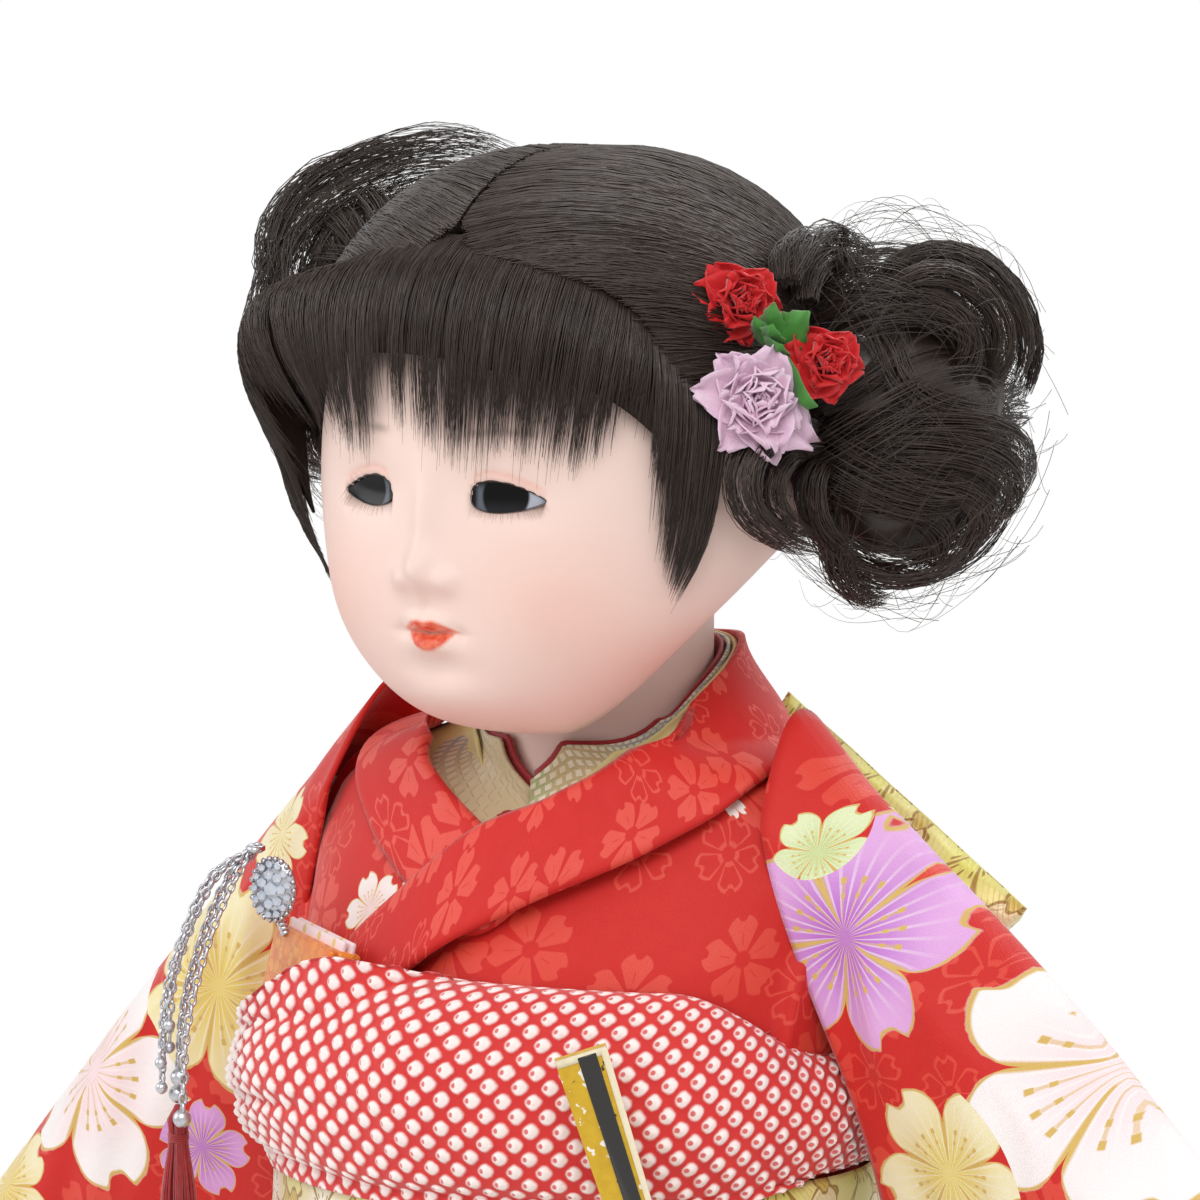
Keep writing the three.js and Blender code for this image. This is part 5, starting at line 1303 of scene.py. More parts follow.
def sleevePoint(across, down, face, inset, which):
    corners = np.array([(x, 0, z) for x, z in sleeve[which]], float)
    a = np.asarray(across)[:, None]
    top, low = corners[0] + (corners[1] - corners[0]) * a, corners[2] + (corners[3] - corners[2]) * a
    crown = sleeve[which + "Crown"] * np.sin(math.pi * np.clip(across, 0, 1))
    top = top + crown[:, None] * np.array([.67, 0, .74])
    drop = np.linalg.norm(top - low, axis=1)
    share = inset / drop + (1 - 2 * inset / drop) * down
    place = top + (low - top) * share[:, None]
    full = sleeve["hem"] + (sleeve["arm"] - sleeve["hem"]) * np.exp(-((down - .1) / .26) ** 2)
    roundness = np.minimum(1, np.minimum(np.sqrt(down / .09), np.sqrt((1 - down) / .03)))
    wave = sleeve["fold"] * down * np.sin(9 * across + .6)
    crumple = .5 * np.sin(across * 21 + down * 13) + .4 * np.sin(across * 34 - down * 27)
    crumple = crumple * np.exp(-((down - .15) / .2) ** 2)
    gather = .9 * np.sin(across * 46 + down * 9) * np.exp(-((across - .04) / .12) ** 2)
    gather = gather * np.exp(-((down - .12) / .14) ** 2)
    half = face * np.maximum(full - inset, .4)
    place[:, 1] = -3 + wave + half * roundness + (crumple + gather) * np.abs(face) * roundness
    return place


def sleevePiece(name, node, side, first, last, inset, cloth, finish):
    which = "left" if side > 0 else "right"

    def place(u, v):
        ringTurn = v * 2
        face = np.where(ringTurn < 1, -1.0, 1.0)
        down = np.where(ringTurn < 1, ringTurn, 2 - ringTurn)
        down = down ** 1.25
        across = first + (last - first) * u
        shoulder = -.14 * np.exp(-(down / .24) ** 4) if inset == 0 else .055 * ease(.52, .36, down)
        reach = across + shoulder * (1 - u) ** 3
        spots = sleevePoint(reach, np.clip(down, 0, 1), face, inset, which)
        return flipX(spots, side), (across * 140, v * 400)

    bm = sheetMesh(64, 190, place, weld=True)
    turnOut(bm, lambda middle: (middle.x, -3, middle.z))
    piece = newPiece(name, bm)
    piece.data.materials.append(finish.material)
    thicken(piece, cloth)
    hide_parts(node)
    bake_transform(piece)
    return piece


for name, side in (("left", 1), ("right", -1)):
    outerSleeve = sleevePiece(f"{name}_sleeve_cloth", f"{name}_sleeve", side, 0, 1, 0, sleeve["cloth"],
                              sleeveSilks[name])
    innerSleeve = sleevePiece(f"{name}_inner_sleeve_cloth", f"{name}_inner_sleeve", side, -.03, .93,
                              2.8, .6, lining)
print("sleeves ready")

# arms, hands, legs and feet

cotton = Finish("whiteCotton", roughness=.85, sheen_weight=.2)
spot, x, y, z = cotton.places()
cotton.colour(cotton.mix(cotton.noise(spot, .12, 3), tint("f5f2ea"), tint("e6e1d4")))
cotton.bump(clothWeave(cotton, x + y, z, 9) + cotton.noise(spot, .6, 3), .3, .0005)
for name in ("left", "right"):
    body = f"{name}_arm"
    armPad = dress(softCopy(f"{name}_arm_padding", f"{name}_arm", 1.3, 6), cotton, body, "cotton",
                   f"{name}_arm")
    dress(softCopy(f"{name}_hand_skin", f"{name}_hand", .5, 5), gofun, body, "gofun", f"{name}_hand")
    dress(softCopy(f"{name}_leg_skin", f"{name}_leg", 1.2, 4), gofun, "torso", "gofun", f"{name}_leg")
    dress(softCopy(f"{name}_tabi_cloth", f"{name}_tabi", .7, 4), cotton, "torso", "cotton",
          f"{name}_tabi")
pillowCrepe = Finish("pillowCrepe", roughness=.75, sheen_weight=.3)
spot, x, y, z = pillowCrepe.places()
tiedDots = [pillowCrepe.math("FRACT", part / 4.9) - .5 for part in (x + z, x - z)]
tiedFar = pillowCrepe.math("SQRT", tiedDots[0] ** 2 + tiedDots[1] ** 2)
redCrepe = pillowCrepe.mix(pillowCrepe.noise(spot, .2, 3), tint("dc2f26"), tint("c81e22"))
pillowCrepe.colour(pillowCrepe.mix(pillowCrepe.step(tiedFar, .43, .34), redCrepe, tint("fbeeea")))
pillowCrepe.bump(pillowCrepe.noise(spot, 2.4, 3) * .4 - tiedFar, .6, .0012)
pillow = dress(softCopy("obi_pillow_padding", "obi_pillow", .8, 5), pillowCrepe, "torso", "kanoko",
               "obi_pillow")
wood = Finish("bodyWood", roughness=.65)
spot, x, y, z = wood.places()
grain = wood.noise(wood.spot(x, y, z * .08), .5, 4)
wood.colour(wood.mix(grain, tint("d2ac7c"), tint("b98e5c")))
wood.bump(grain, .2, .0005)
tieFinish = Finish("hairTie", roughness=.7, sheen_weight=.2)
spot, x, y, z = tieFinish.places()
tieFinish.colour(tieFinish.mix(tieFinish.noise(spot, .8), tint("15100f"), tint("2c2220")))
tieFinish.bump(tieFinish.math("SINE", (x + z) * 5), .4, .0006)
silver = mottled("silver", "d9d9dc", "aeb0b6", (.7, 3), (2.5, 3), .1, .0003, roughness=.28, metallic=1)
silver.rough(.2 + silver.noise(silver.places()[0], 1.6, 2) * .2)
for node, finish in (("torso", wood), ("neck_plug", wood), ("left_bun_tie", tieFinish),
                     ("right_bun_tie", tieFinish), ("hairpin", silver),
                     ("fan_rivet", silver)):
    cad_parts[node].data.materials.clear()
    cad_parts[node].data.materials.append(finish.material)

feet = dict(apart=22, middle=-8, sole=9, length=68, width=29, thong=1.9)
strawFinish = Finish("sandalSole", roughness=.6)
spot, x, y, z = strawFinish.places()
layersHigh = strawFinish.step(strawFinish.math("FRACT", z / 3), .8, .9)
plait = clothWeave(strawFinish, x, y, 3.2)
soleEdge = strawFinish.mix(layersHigh, tint("e9dcc0"), tint("c9a64a"))
soleTop = strawFinish.mix(plait * .5 + .5, tint("b8281e"), tint("d4503a"))
strawFinish.colour(strawFinish.mix(strawFinish.step(z, 8.2, 8.6), soleEdge, soleTop))
strawFinish.bump(plait, .4, .0006)
thongFinish = petalFinish("thongCloth", "d4281f", "a8161a")
for name, side in (("left", 1), ("right", -1)):
    solePiece = bmesh.new()
    ring = bmesh.ops.create_circle(solePiece, cap_ends=True, segments=64, radius=1)["verts"]
    for vert in ring:
        waist = 1 - .07 * math.exp(-((vert.co.y + .1) / .4) ** 2)
        vert.co = (vert.co.x * feet["width"] / 2 * waist, vert.co.y * feet["length"] / 2, 0)
    grown = bmesh.ops.extrude_face_region(solePiece, geom=list(solePiece.faces))["geom"]
    bmesh.ops.translate(solePiece, vec=(0, 0, feet["sole"]),
                        verts=[g for g in grown if isinstance(g, bmesh.types.BMVert)])
    bmesh.ops.recalc_face_normals(solePiece, faces=solePiece.faces)
    rims = [edge for edge in solePiece.edges
            if abs(edge.verts[0].co.z - edge.verts[1].co.z) < .1 and not edge.is_boundary]
    bmesh.ops.bevel(solePiece, geom=rims, offset=1.1, affect="EDGES", segments=3, profile=.5, material=-1)
    bmesh.ops.translate(solePiece, vec=(side * feet["apart"], feet["middle"] - 13, 0),
                        verts=solePiece.verts)
    dress(newPiece(f"{name}_zori_layers", solePiece, smooth=False), strawFinish, "torso", "sandal",
          f"{name}_zori_sole")
    base = feet["sole"] + .3
    x0, y0 = feet["apart"] - 3, feet["middle"]
    straps = []
    for way in (1, -1):
        points = [(x0, y0 - 34, feet["sole"] + 1), (x0, y0 - 33.4, base + 11),
                  (x0 + way * 1.5 + .6, y0 - 32, base + 15.5),
                  (feet["apart"] + way * 5.5, y0 - 26, base + 17.2),
                  (feet["apart"] + way * 12.6, y0 - 14, base + 11),
                  (feet["apart"] + way * 13.2, y0 - 6, feet["sole"] + 1)]
        straps.append(flipX(curveAlong(points, np.linspace(0, 1, 26)), side))
    strap = strands(f"{name}_thong_straps", straps, [np.full(26, feet["thong"])] * 2)
    dress(strap, thongFinish, "torso", "thong", f"{name}_zori_thong")
print("limbs and feet ready")

# skirt

skirt = dict(hem=25, waist=221.7, lap=-128, folds=7, cloth=1.2)
hemShades = [("fdf8f6", "f5d0d6"), ("f7efc6", "ead36a"), ("e0aee4", "bb6fce"), ("dcefb6", "b4cc74")] * 4
hemSpots = [(k * 23 - 180, 50 + 24 * math.sin(k * 1.9), 14 + 4 * math.sin(k * 2.3), *shade)
            for k, shade in enumerate(hemShades)]
skirtSilk = silkFinish("skirtSilk", "d0221b", "e44c3a", stamps=hemSpots)


def skirtPlace(out, low, high, hemRoll):
    def place(u, v):
        turn = skirt["lap"] + 360 * u
        height = low + (high - low) * v
        fold = 1.4 * np.sin(np.radians(turn * skirt["folds"])) * np.maximum(0, 1 - height / 160)
        past = np.mod(turn - skirt["lap"], 360)
        lap = np.where(past < 150, 1.5 * np.minimum(1, past / 2.5) * np.minimum(1, (150 - past) / 90), 0)
        lap = lap * np.clip((205 - height) / 30, 0, 1)
        roll = hemRoll * np.exp(-((height - low - 3) / 3) ** 2)
        stand = out + fold + lap + roll + rumple(turn, height, .8)
        return onBody(turn, height, stand), (np.radians(turn) * 50, height)
    return place


for name, node, out, low, high, roll, finish, slot in (
        ("kimono_skirt_cloth", "kimono_skirt", 0, skirt["hem"], skirt["waist"], 1.0, skirtSilk,
         "red_silk"),
        ("under_skirt_cloth", "under_skirt", -3.4, 30, 214, 0, lining, "lining")):
    bm = sheetMesh(240, 90, skirtPlace(out, low, high, roll), weld=True)
    turnOut(bm, midline)
    piece = newPiece(name, bm)
    dress(thicken(piece, skirt["cloth"]), finish, "torso", slot, node)

# obi, its cord, the kanoko sash and the bow


def brocadeFinish(name, ground, light, figures, size=24.0, uv="cloth"):
    # gold cloth with large blossoms, filled with satin and edged with thread
    f = Finish(name, roughness=.42, sheen_weight=.2, metallic=.12)
    spot, u, v, w = f.places(uv)
    if not uv:
        v = w
        spot = f.spot(u, v)
    twill = f.step(f.math("FRACT", u * .8 + v * .8), .35, .65)
    colour = f.mix(twill * .6 + f.noise(spot, .3, 3) * .4, tint(ground), tint(light))
    relief = twill * .4
    for shift, share, turn, first, second in ((0.0, .5, .2, 0, 1), (.5, .4, .9, 2, 3)):
        x, y = ((f.math("FRACT", part / size + shift) - .5) * size for part in (u, v))
        far, depth, angle = blossom(f, x, y, size * share, turn)
        lobe = f.math("ABSOLUTE", f.math("COSINE", angle * 2.5))
        flower = f.step(depth, 0, .03)
        fade = f.step(far + f.noise(spot, .2, 2) * .3, .2, .9)
        satin = f.mix(fade, tint(figures[first]), tint(figures[second]))
        edge = f.math("MAXIMUM", flower - f.step(depth, .06, .09), f.step(lobe, .24, .1) * flower)
        band = f.step(f.math("ABSOLUTE", far - .32), .06, .03)
        pip = f.step(f.math("COSINE", angle * 15), .6, .9) * band
        edge = f.math("MINIMUM", edge + pip, 1)
        colour = f.mix(flower, colour, f.mix(edge, satin, tint(figures[4])))
        relief = relief + flower * .6 + edge * .5
    f.colour(colour)
    f.bump(relief + f.noise(spot, 1.2, 2) * .4, .4, .0005)
    return f


goldBrocade = brocadeFinish("goldBrocade", "bd9f45", "d9c268",
                            ("d6cf5a", "e2d98a", "f3eee0", "e6d7a6", "a27c2e"))
obi = dict(bottom=212, top=274, inner=1.8, thickness=2.6, swell=1.4)


def obiOut(height):
    share = (height - obi["bottom"]) / (obi["top"] - obi["bottom"])
    return obi["inner"] + obi["thickness"] + obi["swell"] * np.sin(share * math.pi)


def obiPlace(u, v):
    turn = 90 + 360 * u
    height = obi["bottom"] + (obi["top"] - obi["bottom"]) * v
    edge = np.clip(np.minimum(v, 1 - v) / .03, 0, 1)
    wrap = .35 * ease(.36, .33, v) + .2 * ease(.7, .67, v)
    return onBody(turn, height, obiOut(height) - 1.2 * (1 - edge) ** 2 + wrap), (u * 330, height)


bm = sheetMesh(220, 60, obiPlace, weld=True)
turnOut(bm, midline)
band = newPiece("obi_band", bm)
dress(thicken(band, 2), goldBrocade, "torso", "brocade", "obi")
boardFinish = mottled("obiBoard", "ded3ae", "c9bd95", (.4, 4), (1.5, 3), .2, .0004, roughness=.8)
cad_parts["obi_board"].data.materials.clear()
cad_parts["obi_board"].data.materials.append(boardFinish.material)

# kanoko: tied dots in slanting rows, each a raised white square with a red heart
kanoko = dict(step=5.0, rise=1.25, heart=.13, middle=290, half=17, front=14, side=5, lap=6.5, dip=11)
kanokoFinish = Finish("kanokoCrepe", roughness=.75, sheen_weight=.3)
spot, u, v, w = kanokoFinish.places("cloth")
ring = (u + v) / kanoko["step"], (u - v) / kanoko["step"]
dx, dy = (kanokoFinish.math("FRACT", part) - .5 for part in ring)
dots = (kanokoFinish.math("ABSOLUTE", dx) ** 2.6 + kanokoFinish.math("ABSOLUTE", dy) ** 2.6) ** .385
dots = dots + kanokoFinish.noise(spot, .9, 2) * .1 - .05
heart = kanokoFinish.math("SQRT", (dx - kanoko["heart"]) ** 2 + (dy - kanoko["heart"]) ** 2)
white = kanokoFinish.step(dots, .43, .25) * (1 - kanokoFinish.step(heart, .17, .09) * .85)
red = kanokoFinish.mix(kanokoFinish.noise(spot, .15, 3), tint("dc2f26"), tint("c81e22"))
kanokoFinish.colour(kanokoFinish.mix(white, red, tint("fbeeea")))
kanokoFinish.bump(kanokoFinish.noise(spot, 2.4, 3), .3, .0004)


def obiageForm(turn, v):
    fromFront = np.abs(turn + 90) / 152
    thick = kanoko["front"] + (kanoko["side"] - kanoko["front"]) * np.minimum(1, fromFront * 1.6)
    thick = thick + 3.5 * np.exp(-((turn + 140) / 26) ** 2)
    beside = ease(.28, .54, fromFront)
    middle = kanoko["middle"] - 5 * beside
    tall = kanoko["half"] * (1 - .4 * beside)
    angle = (-.5 + v) * math.pi * 1.06
    bulge = np.clip(np.cos(angle), 0, 1) ** .8
    slump = 1.6 * np.sin(turn * .09 + 1) * np.sin(math.pi * v)
    lap = kanoko["lap"] * (1 - beside) * np.clip(1 - v / .3, 0, 1)
    height = middle + tall * np.sin(angle) - 2 * bulge
    height = np.maximum(height, obi["top"] + 1 + .5 * bulge) - lap + slump * .4
    height = height - kanoko["dip"] * ease(-106, -138, turn) * ease(-176, -146, turn) * ease(.35, .95, v)
    pocket = np.exp(-((turn + 122) / 29) ** 4) * ease(.45, .72, v)
    base = .9 + (thick - .9) * bulge
    base = np.where(pocket > .02, np.maximum(base, 12.6 * pocket), base)
    over = ease(obi["top"] + 2, obi["top"], height)
    return height, np.maximum(base, (obiOut(np.minimum(height, obi["top"])) + 1.3) * over)


rowShares = np.linspace(0, 1, 120)
columnTurns = np.arange(62, -243, -4.0)
columnGirths = []
for columnTurn in columnTurns:
    turns = np.full(120, columnTurn)
    rowPlaces = onBody(turns, *obiageForm(turns, rowShares))
    columnGirths.append(np.r_[0, np.cumsum(np.linalg.norm(np.diff(rowPlaces, axis=0), axis=1))])
columnGirths = np.array(columnGirths)
for evening in range(3):
    columnGirths[1:-1] = (columnGirths[:-2] + columnGirths[1:-1] + columnGirths[2:]) / 3


def girthAt(turn, v):
    # length of cloth from the lower edge, so that the tied dots stay even over the folds
    column = np.clip((62 - turn) / 4, 0, len(columnTurns) - 1.001)
    row = np.clip(v * 119, 0, 118.999)
    k, n = column.astype(int), row.astype(int)
    a, b = column - k, row - n
    near = columnGirths[k, n] * (1 - b) + columnGirths[k, n + 1] * b
    far = columnGirths[k + 1, n] * (1 - b) + columnGirths[k + 1, n + 1] * b
    return near * (1 - a) + far * a


def obiagePlace(u, v):
    turn = 62 - 304 * u
    height, base = obiageForm(turn, v)
    girth = girthAt(turn, v)
    length = -np.radians(turn + 90) * 60
    p, q = (length + girth) / kanoko["step"], (length - girth) / kanoko["step"]
    p, q = p - np.floor(p) - .5, q - np.floor(q) - .5
    dimple = np.hypot(p - kanoko["heart"], q - kanoko["heart"])
    tied = np.exp(-(np.hypot(p, q) / .3) ** 2.4) - .45 * np.exp(-(dimple / .12) ** 2)
    tied = kanoko["rise"] * tied * ease(0, .06, np.minimum(v, 1 - v))
    folds = .9 * np.sin(v * 9 + turn * .05) * np.sin(turn * .12) * np.sin(math.pi * v)
    crease = -1.4 * np.exp(-((v - .42 - .0022 * (turn + 110)) / .03) ** 2) * ease(-92, -120, turn)
    return onBody(turn, height, base + tied + folds + crease), (length, girth)


sash = newPiece("obiage_crepe", sheetMesh(620, 96, obiagePlace, midline))
dress(thicken(sash, .5), kanokoFinish, "torso", "kanoko", "obiage")

cordLook = dict(height=241.14, radius=2.6, twist=26)
cordFinish = mottled("braidedCord", "c8382c", "e0b85a", (.7, 3), (3, 3), .4, .0005, roughness=.6,
                     sheen_weight=.3)
turns = np.linspace(0, 360, 361)
fanTurnAt = -36.6
past = np.mod(turns - fanTurnAt + 180, 360) - 180
cordRest = obi["inner"] + obi["thickness"] + obi["swell"] + cordLook["radius"] + .4
cordOut = cordRest + (15.6 - cordRest) * np.exp(-(past / 17) ** 4)
middleLine = onBody(turns, np.full(361, cordLook["height"]), cordOut)
outward = unit((middleLine - np.array([0, -8, 0])) * np.array([1, 1, 0]))
paths = []
for k in range(4):
    spin = np.radians(turns * cordLook["twist"] / 4) + k * math.pi / 2
    braid = middleLine + (np.cos(spin) * 1.25)[:, None] * outward
    paths.append(braid + np.outer(np.sin(spin) * 1.25, (0, 0, 1)))
knotAt = onBody(np.array([-90.0]), np.array([cordLook["height"]]), cordRest + 1.4)[0]
loopTurn = np.linspace(0, 2 * math.pi, 30)
for lean in (.5, -.5, 0):
    loop = np.stack([5.2 * np.cos(loopTurn), -1.2 * np.sin(2 * loopTurn), 3.6 * np.sin(loopTurn)], -1)
    paths.append(loop @ np.array(Matrix.Rotation(lean, 3, "Y")) + knotAt)
cord = strands("obi_cord_braid", paths, [np.full(len(path), 1.45) for path in paths])
dress(cord, cordFinish, "torso", "cord", "obi_cord")

bow = dict(middle=(0, 49, 283), tilt=34.5, length=110, knot=11, lengthen=3)
bowWay = np.array([math.sin(math.radians(bow["tilt"])), 0, math.cos(math.radians(bow["tilt"]))])
bowAcross = np.array([bowWay[2], 0, -bowWay[0]])


def wingPlace(side):
    def place(u, v):
        a = u * 2 * math.pi
        end = bow["length"] / 2 + (bow["lengthen"] if side > 0 else 0)
        far = bow["knot"] + .3 + (end - bow["knot"] - .3) * v
        half = np.interp(v, [0, .25, .6, .93, 1], [14.6, 21.5, 27.4, 31.4, 31.8])
        thick = np.interp(v, [0, .25, .6, .93, 1], [4.6, 6.2, 5.9, 5.6, .3])
        spread = swell(np.cos(a), .7)
        pleat = .9 * np.sin(9 * spread) * (1 - v) + 1.1 * np.sin(3 * math.pi * spread) * v
        lift = thick * swell(np.sin(a), .6) + pleat * np.clip(thick / 4, 0, 1)
        lift = np.where(far < 30, np.maximum(lift, -4.9), lift)
        spot = np.array(bow["middle"]) + side * far[:, None] * bowWay
        spot = spot + (half * spread)[:, None] * bowAcross
        spot[:, 1] += lift
        return spot, (half * spread + np.where(np.sin(a) < 0, 90, 0), far)
    return place


for name, side, node in (("upper", 1, "bow_upper_wing"), ("lower", -1, "bow_lower_wing")):
    bm = sheetMesh(96, 40, wingPlace(side), weld=True)
    bmesh.ops.recalc_face_normals(bm, faces=bm.faces)
    wing = newPiece(f"bow_{name}_fold", bm)
    dress(thicken(wing, .8), goldBrocade, "torso", "brocade", node)


def knotPlace(u, v):
    a = u * 2 * math.pi
    offset = -bow["knot"] + 2 * bow["knot"] * v
    pinch = 1 - .3 * (2 * np.abs(v - .5)) ** 6 + .05 * np.sin(v * 25)
    across = 16.6 * pinch * swell(np.cos(a), .6)
    spot = np.array(bow["middle"]) + across[:, None] * bowAcross + offset[:, None] * bowWay
    spot[:, 1] += 8.4 * pinch * swell(np.sin(a), .6)
    return spot, (a * 12, offset)


bm = sheetMesh(72, 24, knotPlace, weld=True)
bmesh.ops.recalc_face_normals(bm, faces=bm.faces)
knot = newPiece("bow_knot_band", bm)
dress(thicken(knot, 1), goldBrocade, "torso", "brocade", "bow_knot")
print("obi and bow ready")

# purse with its ornament, chains and tassel

purse = dict(width=32, height=34, thick=6, turn=-126, lean=14)
purseMiddle = onBody(np.array([purse["turn"]]), np.array([276 + purse["height"] / 2]),
                     purse["thick"] / 2 + 1.6)[0]
facePurse = Matrix.Rotation(math.radians(purse["turn"] + 93), 4, "Z")
leanPurse = Matrix.Rotation(math.radians(-purse["lean"]), 4, "X")
seatPurse = Matrix.Translation(purseMiddle) @ facePurse @ leanPurse
purseBrocade = brocadeFinish("purseBrocade", "e06a14", "f08a2c",
                             ("e87a1c", "ee8e2c", "de6a14", "f0a040", "d87a1e"), size=9.0, uv=None)
purseMesh = bmesh.new()


def addSlab(bm, width, thick, height, middle, corner):
    fresh = bmesh.ops.create_cube(bm, size=1)["verts"]
    bmesh.ops.scale(bm, vec=(width, thick, height), verts=fresh)
    edges = list({edge for vert in fresh for edge in vert.link_edges})
    made = bmesh.ops.bevel(bm, geom=edges, offset=corner, affect="EDGES", segments=3, profile=.5,
                           material=-1)
    moved = {vert for face in made["faces"] for vert in face.verts} | {v for v in fresh if v.is_valid}
    bmesh.ops.translate(bm, vec=middle, verts=list(moved))


addSlab(purseMesh, purse["width"], 4.6, purse["height"], (0, .7, 0), .9)
addSlab(purseMesh, 31.2, 1.8, 21.6, (0, -2.3, 6.1), .8)
bmesh.ops.transform(purseMesh, matrix=seatPurse, verts=purseMesh.verts)
dress(newPiece("box_purse_cover", purseMesh), purseBrocade, "purse", "purse", "box_purse")
liningEdge = bmesh.new()
addSlab(liningEdge, 31, 1.1, 3.2, (0, 1.2, 17.2), .5)
addSlab(liningEdge, 30.4, .9, 2.2, (0, -.4, 17.6), .4)
bmesh.ops.transform(liningEdge, matrix=seatPurse, verts=liningEdge.verts)
dress(newPiece("purse_lining", liningEdge), lining, "purse", "lining")
beads = bmesh.new()
for k in range(13):
    addBall(beads, (-16.2, -1.4, -13 + 2.3 * k), (.9, .9, .9), across=10, up=7)
bmesh.ops.transform(beads, matrix=seatPurse, verts=beads.verts)
dress(newPiece("purse_beads", beads), silver, "purse", "silver")

discPlace = Vector(purseMiddle) + Vector((-8, 3.5, purse["height"] / 2 + 7.5))
discTurn = Matrix.Translation(discPlace) @ Matrix.Rotation(math.radians(purse["turn"] + 90 + 50), 4, "Z")
setting = bmesh.new()
addBall(setting, (0, 0, 0), (4.4, 1.3, 5.8), across=32, up=20)
for k in range(22):
    a = 2 * math.pi * k / 22
    addBall(setting, (4.2 * math.cos(a), -.6, 5.6 * math.sin(a)), (.55, .6, .55), across=8, up=6)
stemTop, stemLow = Vector((.2, .6, -4)), Vector((1.6, 1.2, -8))
for k in range(6):
    addBall(setting, stemTop.lerp(stemLow, k / 5), (1.0, 1.0, .8), across=10, up=6)
bmesh.ops.transform(setting, matrix=discTurn, verts=setting.verts)
dress(newPiece("ornament_mount", setting), silver, "purse", "silver", "ornament_setting")
crystal = mottled("crystal", "e9f1fb", "aab8c8", (.8, 2), (1.5,), .1, .0003, roughness=.03,
                  coat_weight=1, specular_ior_level=.9)
stones = bmesh.new()
stoneSpots = [(0, 0, 1.5)]
for count, across, tall, size, start in ((7, 2.0, 2.7, 1.05, 0), (13, 3.35, 4.6, .75, .2)):
    for a in np.arange(count) * 2 * math.pi / count + start:
        stoneSpots.append((across * math.cos(a), tall * math.sin(a), size))
for x0, z0, size in stoneSpots:
    fresh = bmesh.ops.create_icosphere(stones, subdivisions=1, radius=size)["verts"]
    move = Matrix.Translation((x0, -1.45, z0)) @ Matrix.Diagonal((1, .75, 1, 1))
    bmesh.ops.transform(stones, matrix=move, verts=fresh)
bmesh.ops.transform(stones, matrix=discTurn, verts=stones.verts)
dress(newPiece("ornament_crystals", stones, smooth=False), crystal, "purse", "stones", "ornament_stones")

# each strand: how far aside, how far in front, share of the length
chain = dict(fall=[(0, 0, 0), (-2.6, -3.6, -5), (-5, -8, -15), (-7, -11.6, -29), (-7.6, -12.4, -44)],
             strands=[(-1, 0, 1), (0, 0, .92), (1, 0, 1.08), (-.5, 1.7, .8), (.5, 2, .7), (0, 3.4, .86),
                      (-.8, 3, .97)], link=1.5)
chainTop = np.array(discPlace) + (-2.6, -2, 7.4)
linkMesh = bmesh.new()


def addLink(bm, spot, way, flat, size):
    ringEdge = bmesh.ops.create_circle(bm, segments=6, radius=size * .22)["verts"]
    bmesh.ops.rotate(bm, verts=ringEdge, cent=(0, 0, 0), matrix=Matrix.Rotation(math.pi / 2, 3, "X"))
    bmesh.ops.translate(bm, verts=ringEdge, vec=(size * .6, 0, 0))
    parts = ringEdge + list({edge for vert in ringEdge for edge in vert.link_edges})
    bmesh.ops.spin(bm, geom=parts, cent=(0, 0, 0), axis=(0, 0, 1), angle=2 * math.pi, steps=10,
                   use_merge=True, use_duplicate=False)
    fresh = [vert for vert in bm.verts if not vert.tag]
    frameTurn = Vector((0, 1, 0)).rotation_difference(Vector(way)).to_matrix().to_4x4()
    stretch = Matrix.Diagonal((.75, 1.15, 1, 1))
    move = Matrix.Translation(spot) @ frameTurn @ Matrix.Rotation(flat, 4, "Y") @ stretch
    bmesh.ops.transform(bm, matrix=move, verts=fresh)
    for vert in fresh:
        vert.tag = True


strandEnds = []
for number, (shift, pile, length) in enumerate(chain["strands"]):
    points = []
    for x, y, z in chain["fall"]:
        spread = min(1, -z / 5)
        aside = np.array([1.9 * shift - .68 * pile, -1.7 * shift - .73 * pile, 0]) * spread
        points.append(chainTop + aside + (x, y, z * length))
    line = curveAlong(points, np.linspace(0, 1, 200))
    pace = np.r_[0, np.cumsum(np.linalg.norm(np.diff(line, axis=0), axis=1))]
    count = int(pace[-1] / (chain["link"] * 1.12))
    spots = np.stack([np.interp(np.linspace(0, pace[-1], count), pace, line[:, n]) for n in range(3)], -1)
    ways = unit(np.gradient(spots, axis=0))
    for k in range(count):
        addLink(linkMesh, Vector(spots[k]), ways[k], (k % 2) * math.pi / 2 + .3 * number,
                chain["link"] * (.9 if pile else 1))
    strandEnds.append(spots[-1])
addLink(linkMesh, Vector(chainTop), (.59, -.81, 0), 0, 3)
for end, size in zip(strandEnds, (1.7, 1.7, 1.7, 1.1, 1.1, 1.1, 1.1)):
    addBall(linkMesh, Vector(end), (size, size, size), across=14, up=10)
bmesh.ops.recalc_face_normals(linkMesh, faces=linkMesh.faces)
dress(newPiece("chain_links", linkMesh), silver, "chains", "silver", "ornament_chains")
tasselFinish = Finish("tasselSilk", roughness=.5, sheen_weight=.4)
spot, x, y, z = tasselFinish.places()
tasselFinish.colour(tasselFinish.mix(tasselFinish.noise(spot, .6, 2), tint("b8141c"), tint("7c0c14")))
tasselFinish.bump(tasselFinish.noise(tasselFinish.spot(x * 4, y * 4, z * .2), 1), .4, .0004)
tasselTop = strandEnds[0] + np.array([0, 0, -2])
dice = random.Random(3)
paths, sizes = [], []
t = np.linspace(0, 1, 12)
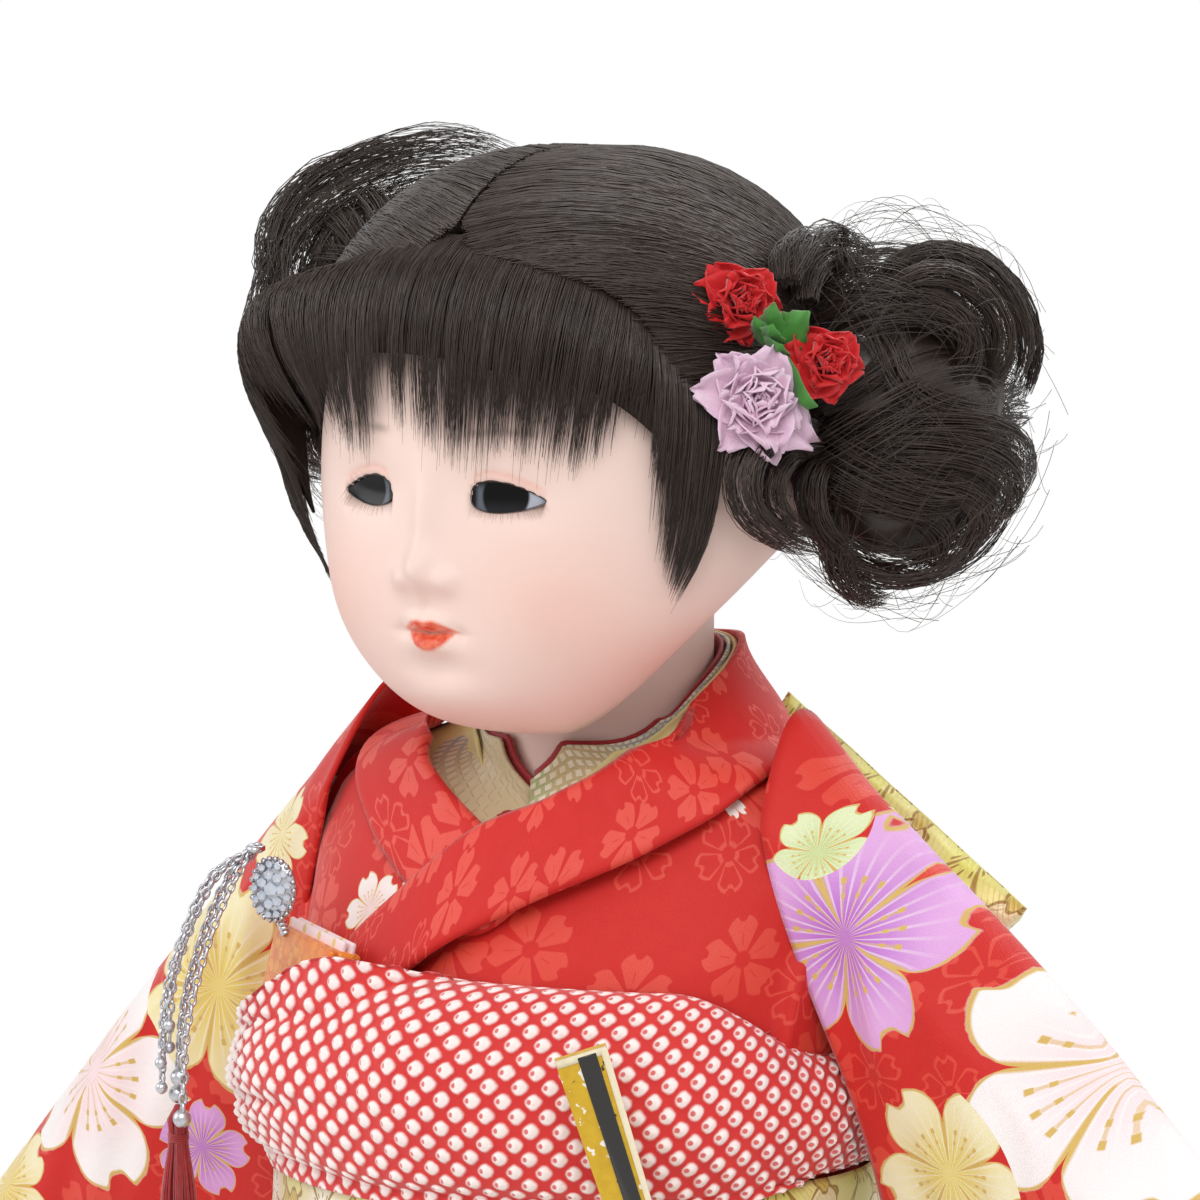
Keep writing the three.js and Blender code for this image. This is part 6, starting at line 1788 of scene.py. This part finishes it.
for k in range(150):
    a, r = dice.uniform(0, 6.3), math.sqrt(dice.random())
    width = np.interp(t, [0, .05, .13, .2, .5, 1], [.4, 1.9, 2.0, 1.5, 3.0, 3.9]) * r
    sway = .5 * math.sin(a * 3) * t ** 2
    drop = -30 * t * dice.uniform(.96, 1)
    paths.append(np.stack([width * np.cos(a) + sway, width * np.sin(a), drop], -1) + tasselTop)
    sizes.append(np.full(12, .2))
bind = np.linspace(0, 2 * math.pi * 4, 60)
paths.append(np.stack([1.75 * np.cos(bind), 1.75 * np.sin(bind), -5 - bind * .06], -1) + tasselTop)
sizes.append(np.full(60, .26))
dress(strands("tassel_threads", paths, sizes), tasselFinish, "chains", "tassel", "tassel")
print("purse and chains ready")

# fan

fan = dict(length=84, width=9, leaf=3, guard=1.2, ribs=9, stripe=1)
fanTop = onBody(np.array([-58.0]), np.array([296.0]), 20.5)[0]
fanLowPlace = onBody(np.array([-33.0]), np.array([222.0]), 11.0)[0]
fanWay = unit(fanTop - fanLowPlace)
fanFoot = fanTop - fanWay * fan["length"]
fanOut = np.array([.62, -.78, 0])
fanOut = unit(fanOut - fanWay * fanOut.dot(fanWay))
fanAcross = np.cross(fanWay, fanOut)
fanTurn = Matrix((tuple(fanAcross), tuple(fanOut), tuple(fanWay))).transposed().to_4x4()
fanSeat = Matrix.Translation(fanFoot) @ fanTurn


def addBar(bm, low, high, corner=.25):
    # a slat from the rivet end to the top, wider towards the top
    fresh = bmesh.ops.create_cube(bm, size=1)["verts"]
    for vert in fresh:
        wide = fan["width"] * (.32 if vert.co.z < 0 else .5)
        vert.co = (vert.co.x * 2 * wide, low if vert.co.y < 0 else high, fan["length"] * (vert.co.z + .5))
    edges = list({edge for vert in fresh for edge in vert.link_edges})
    bmesh.ops.bevel(bm, geom=edges, offset=corner, affect="EDGES", segments=2, profile=.5, material=-1)


goldPaper = mottled("fanPaper", "e3c766", "c39f36", (.6, 4), (1.8, 4), .25, .0005, roughness=.42,
                    metallic=.35)
guardPaper = Finish("fanGuardPaper", roughness=.4, metallic=.25)
spot, x, y, z = guardPaper.places()
flake = guardPaper.noise(spot, .5, 2)
leafGold = guardPaper.mix(guardPaper.noise(spot, .6, 4), tint("e0b92e"), tint("c2961c"))
leafGold = guardPaper.mix(guardPaper.step(flake, .64, .67), leafGold, tint("f6efe0"))
guardPaper.colour(guardPaper.mix(guardPaper.step(flake, .34, .31), leafGold, tint("1c1712")))
guardPaper.bump(guardPaper.noise(spot, 1.8, 4), .25, .0005)
creamPaper = mottled("fanEdge", "f4ead0", "e2d3ae", (.9, 3), (2,), .15, .0004, roughness=.7)
lacquer = mottled("blackLacquer", "0d0b0a", "1f1915", (.8, 3), (.4, 2), .06, .0003, roughness=.16,
                  coat_weight=.6, coat_roughness=.06)
leafStack = bmesh.new()
each = fan["leaf"] / fan["ribs"]
for k in range(fan["ribs"]):
    addBar(leafStack, k * each + .03, (k + 1) * each - .03, .08)
bmesh.ops.transform(leafStack, matrix=fanSeat, verts=leafStack.verts)
dress(newPiece("fan_folds", leafStack, smooth=False), goldPaper, "fan", "fan_paper", "fan_leaves")
guardMesh = bmesh.new()
addBar(guardMesh, fan["leaf"] + .3, fan["leaf"] + .3 + fan["guard"] * .7)
bmesh.ops.transform(guardMesh, matrix=fanSeat, verts=guardMesh.verts)
dress(newPiece("fan_guard_slat", guardMesh), guardPaper, "fan", "fan_paper", "fan_guard")
stripeMesh = bmesh.new()
addBar(stripeMesh, fan["leaf"] + .5, fan["leaf"] + .3 + fan["guard"], .12)
for vert in stripeMesh.verts:
    vert.co.x = vert.co.x * .36 + fan["stripe"] * fan["width"] * .1
bmesh.ops.transform(stripeMesh, matrix=fanSeat, verts=stripeMesh.verts)
dress(newPiece("fan_guard_stripe", stripeMesh), lacquer, "fan", "lacquer")
edgeMesh = bmesh.new()
addBar(edgeMesh, fan["leaf"] + .25, fan["leaf"] + .2 + fan["guard"], .12)
for vert in edgeMesh.verts:
    half = .32 + .18 * vert.co.z / fan["length"]
    vert.co.x = vert.co.x * .13 + fan["stripe"] * .88 * half * fan["width"]
capVerts = bmesh.ops.create_cube(edgeMesh, size=1)["verts"]
for vert in capVerts:
    deep = fan["leaf"] + .35 + (vert.co.y + .5) * fan["guard"] * .78
    vert.co = (vert.co.x * fan["width"] * .98, deep, fan["length"] - .2 + vert.co.z * 1.2)
bmesh.ops.transform(edgeMesh, matrix=fanSeat, verts=edgeMesh.verts)
dress(newPiece("fan_edge_strips", edgeMesh), creamPaper, "fan", "fan_paper")
print("fan ready")
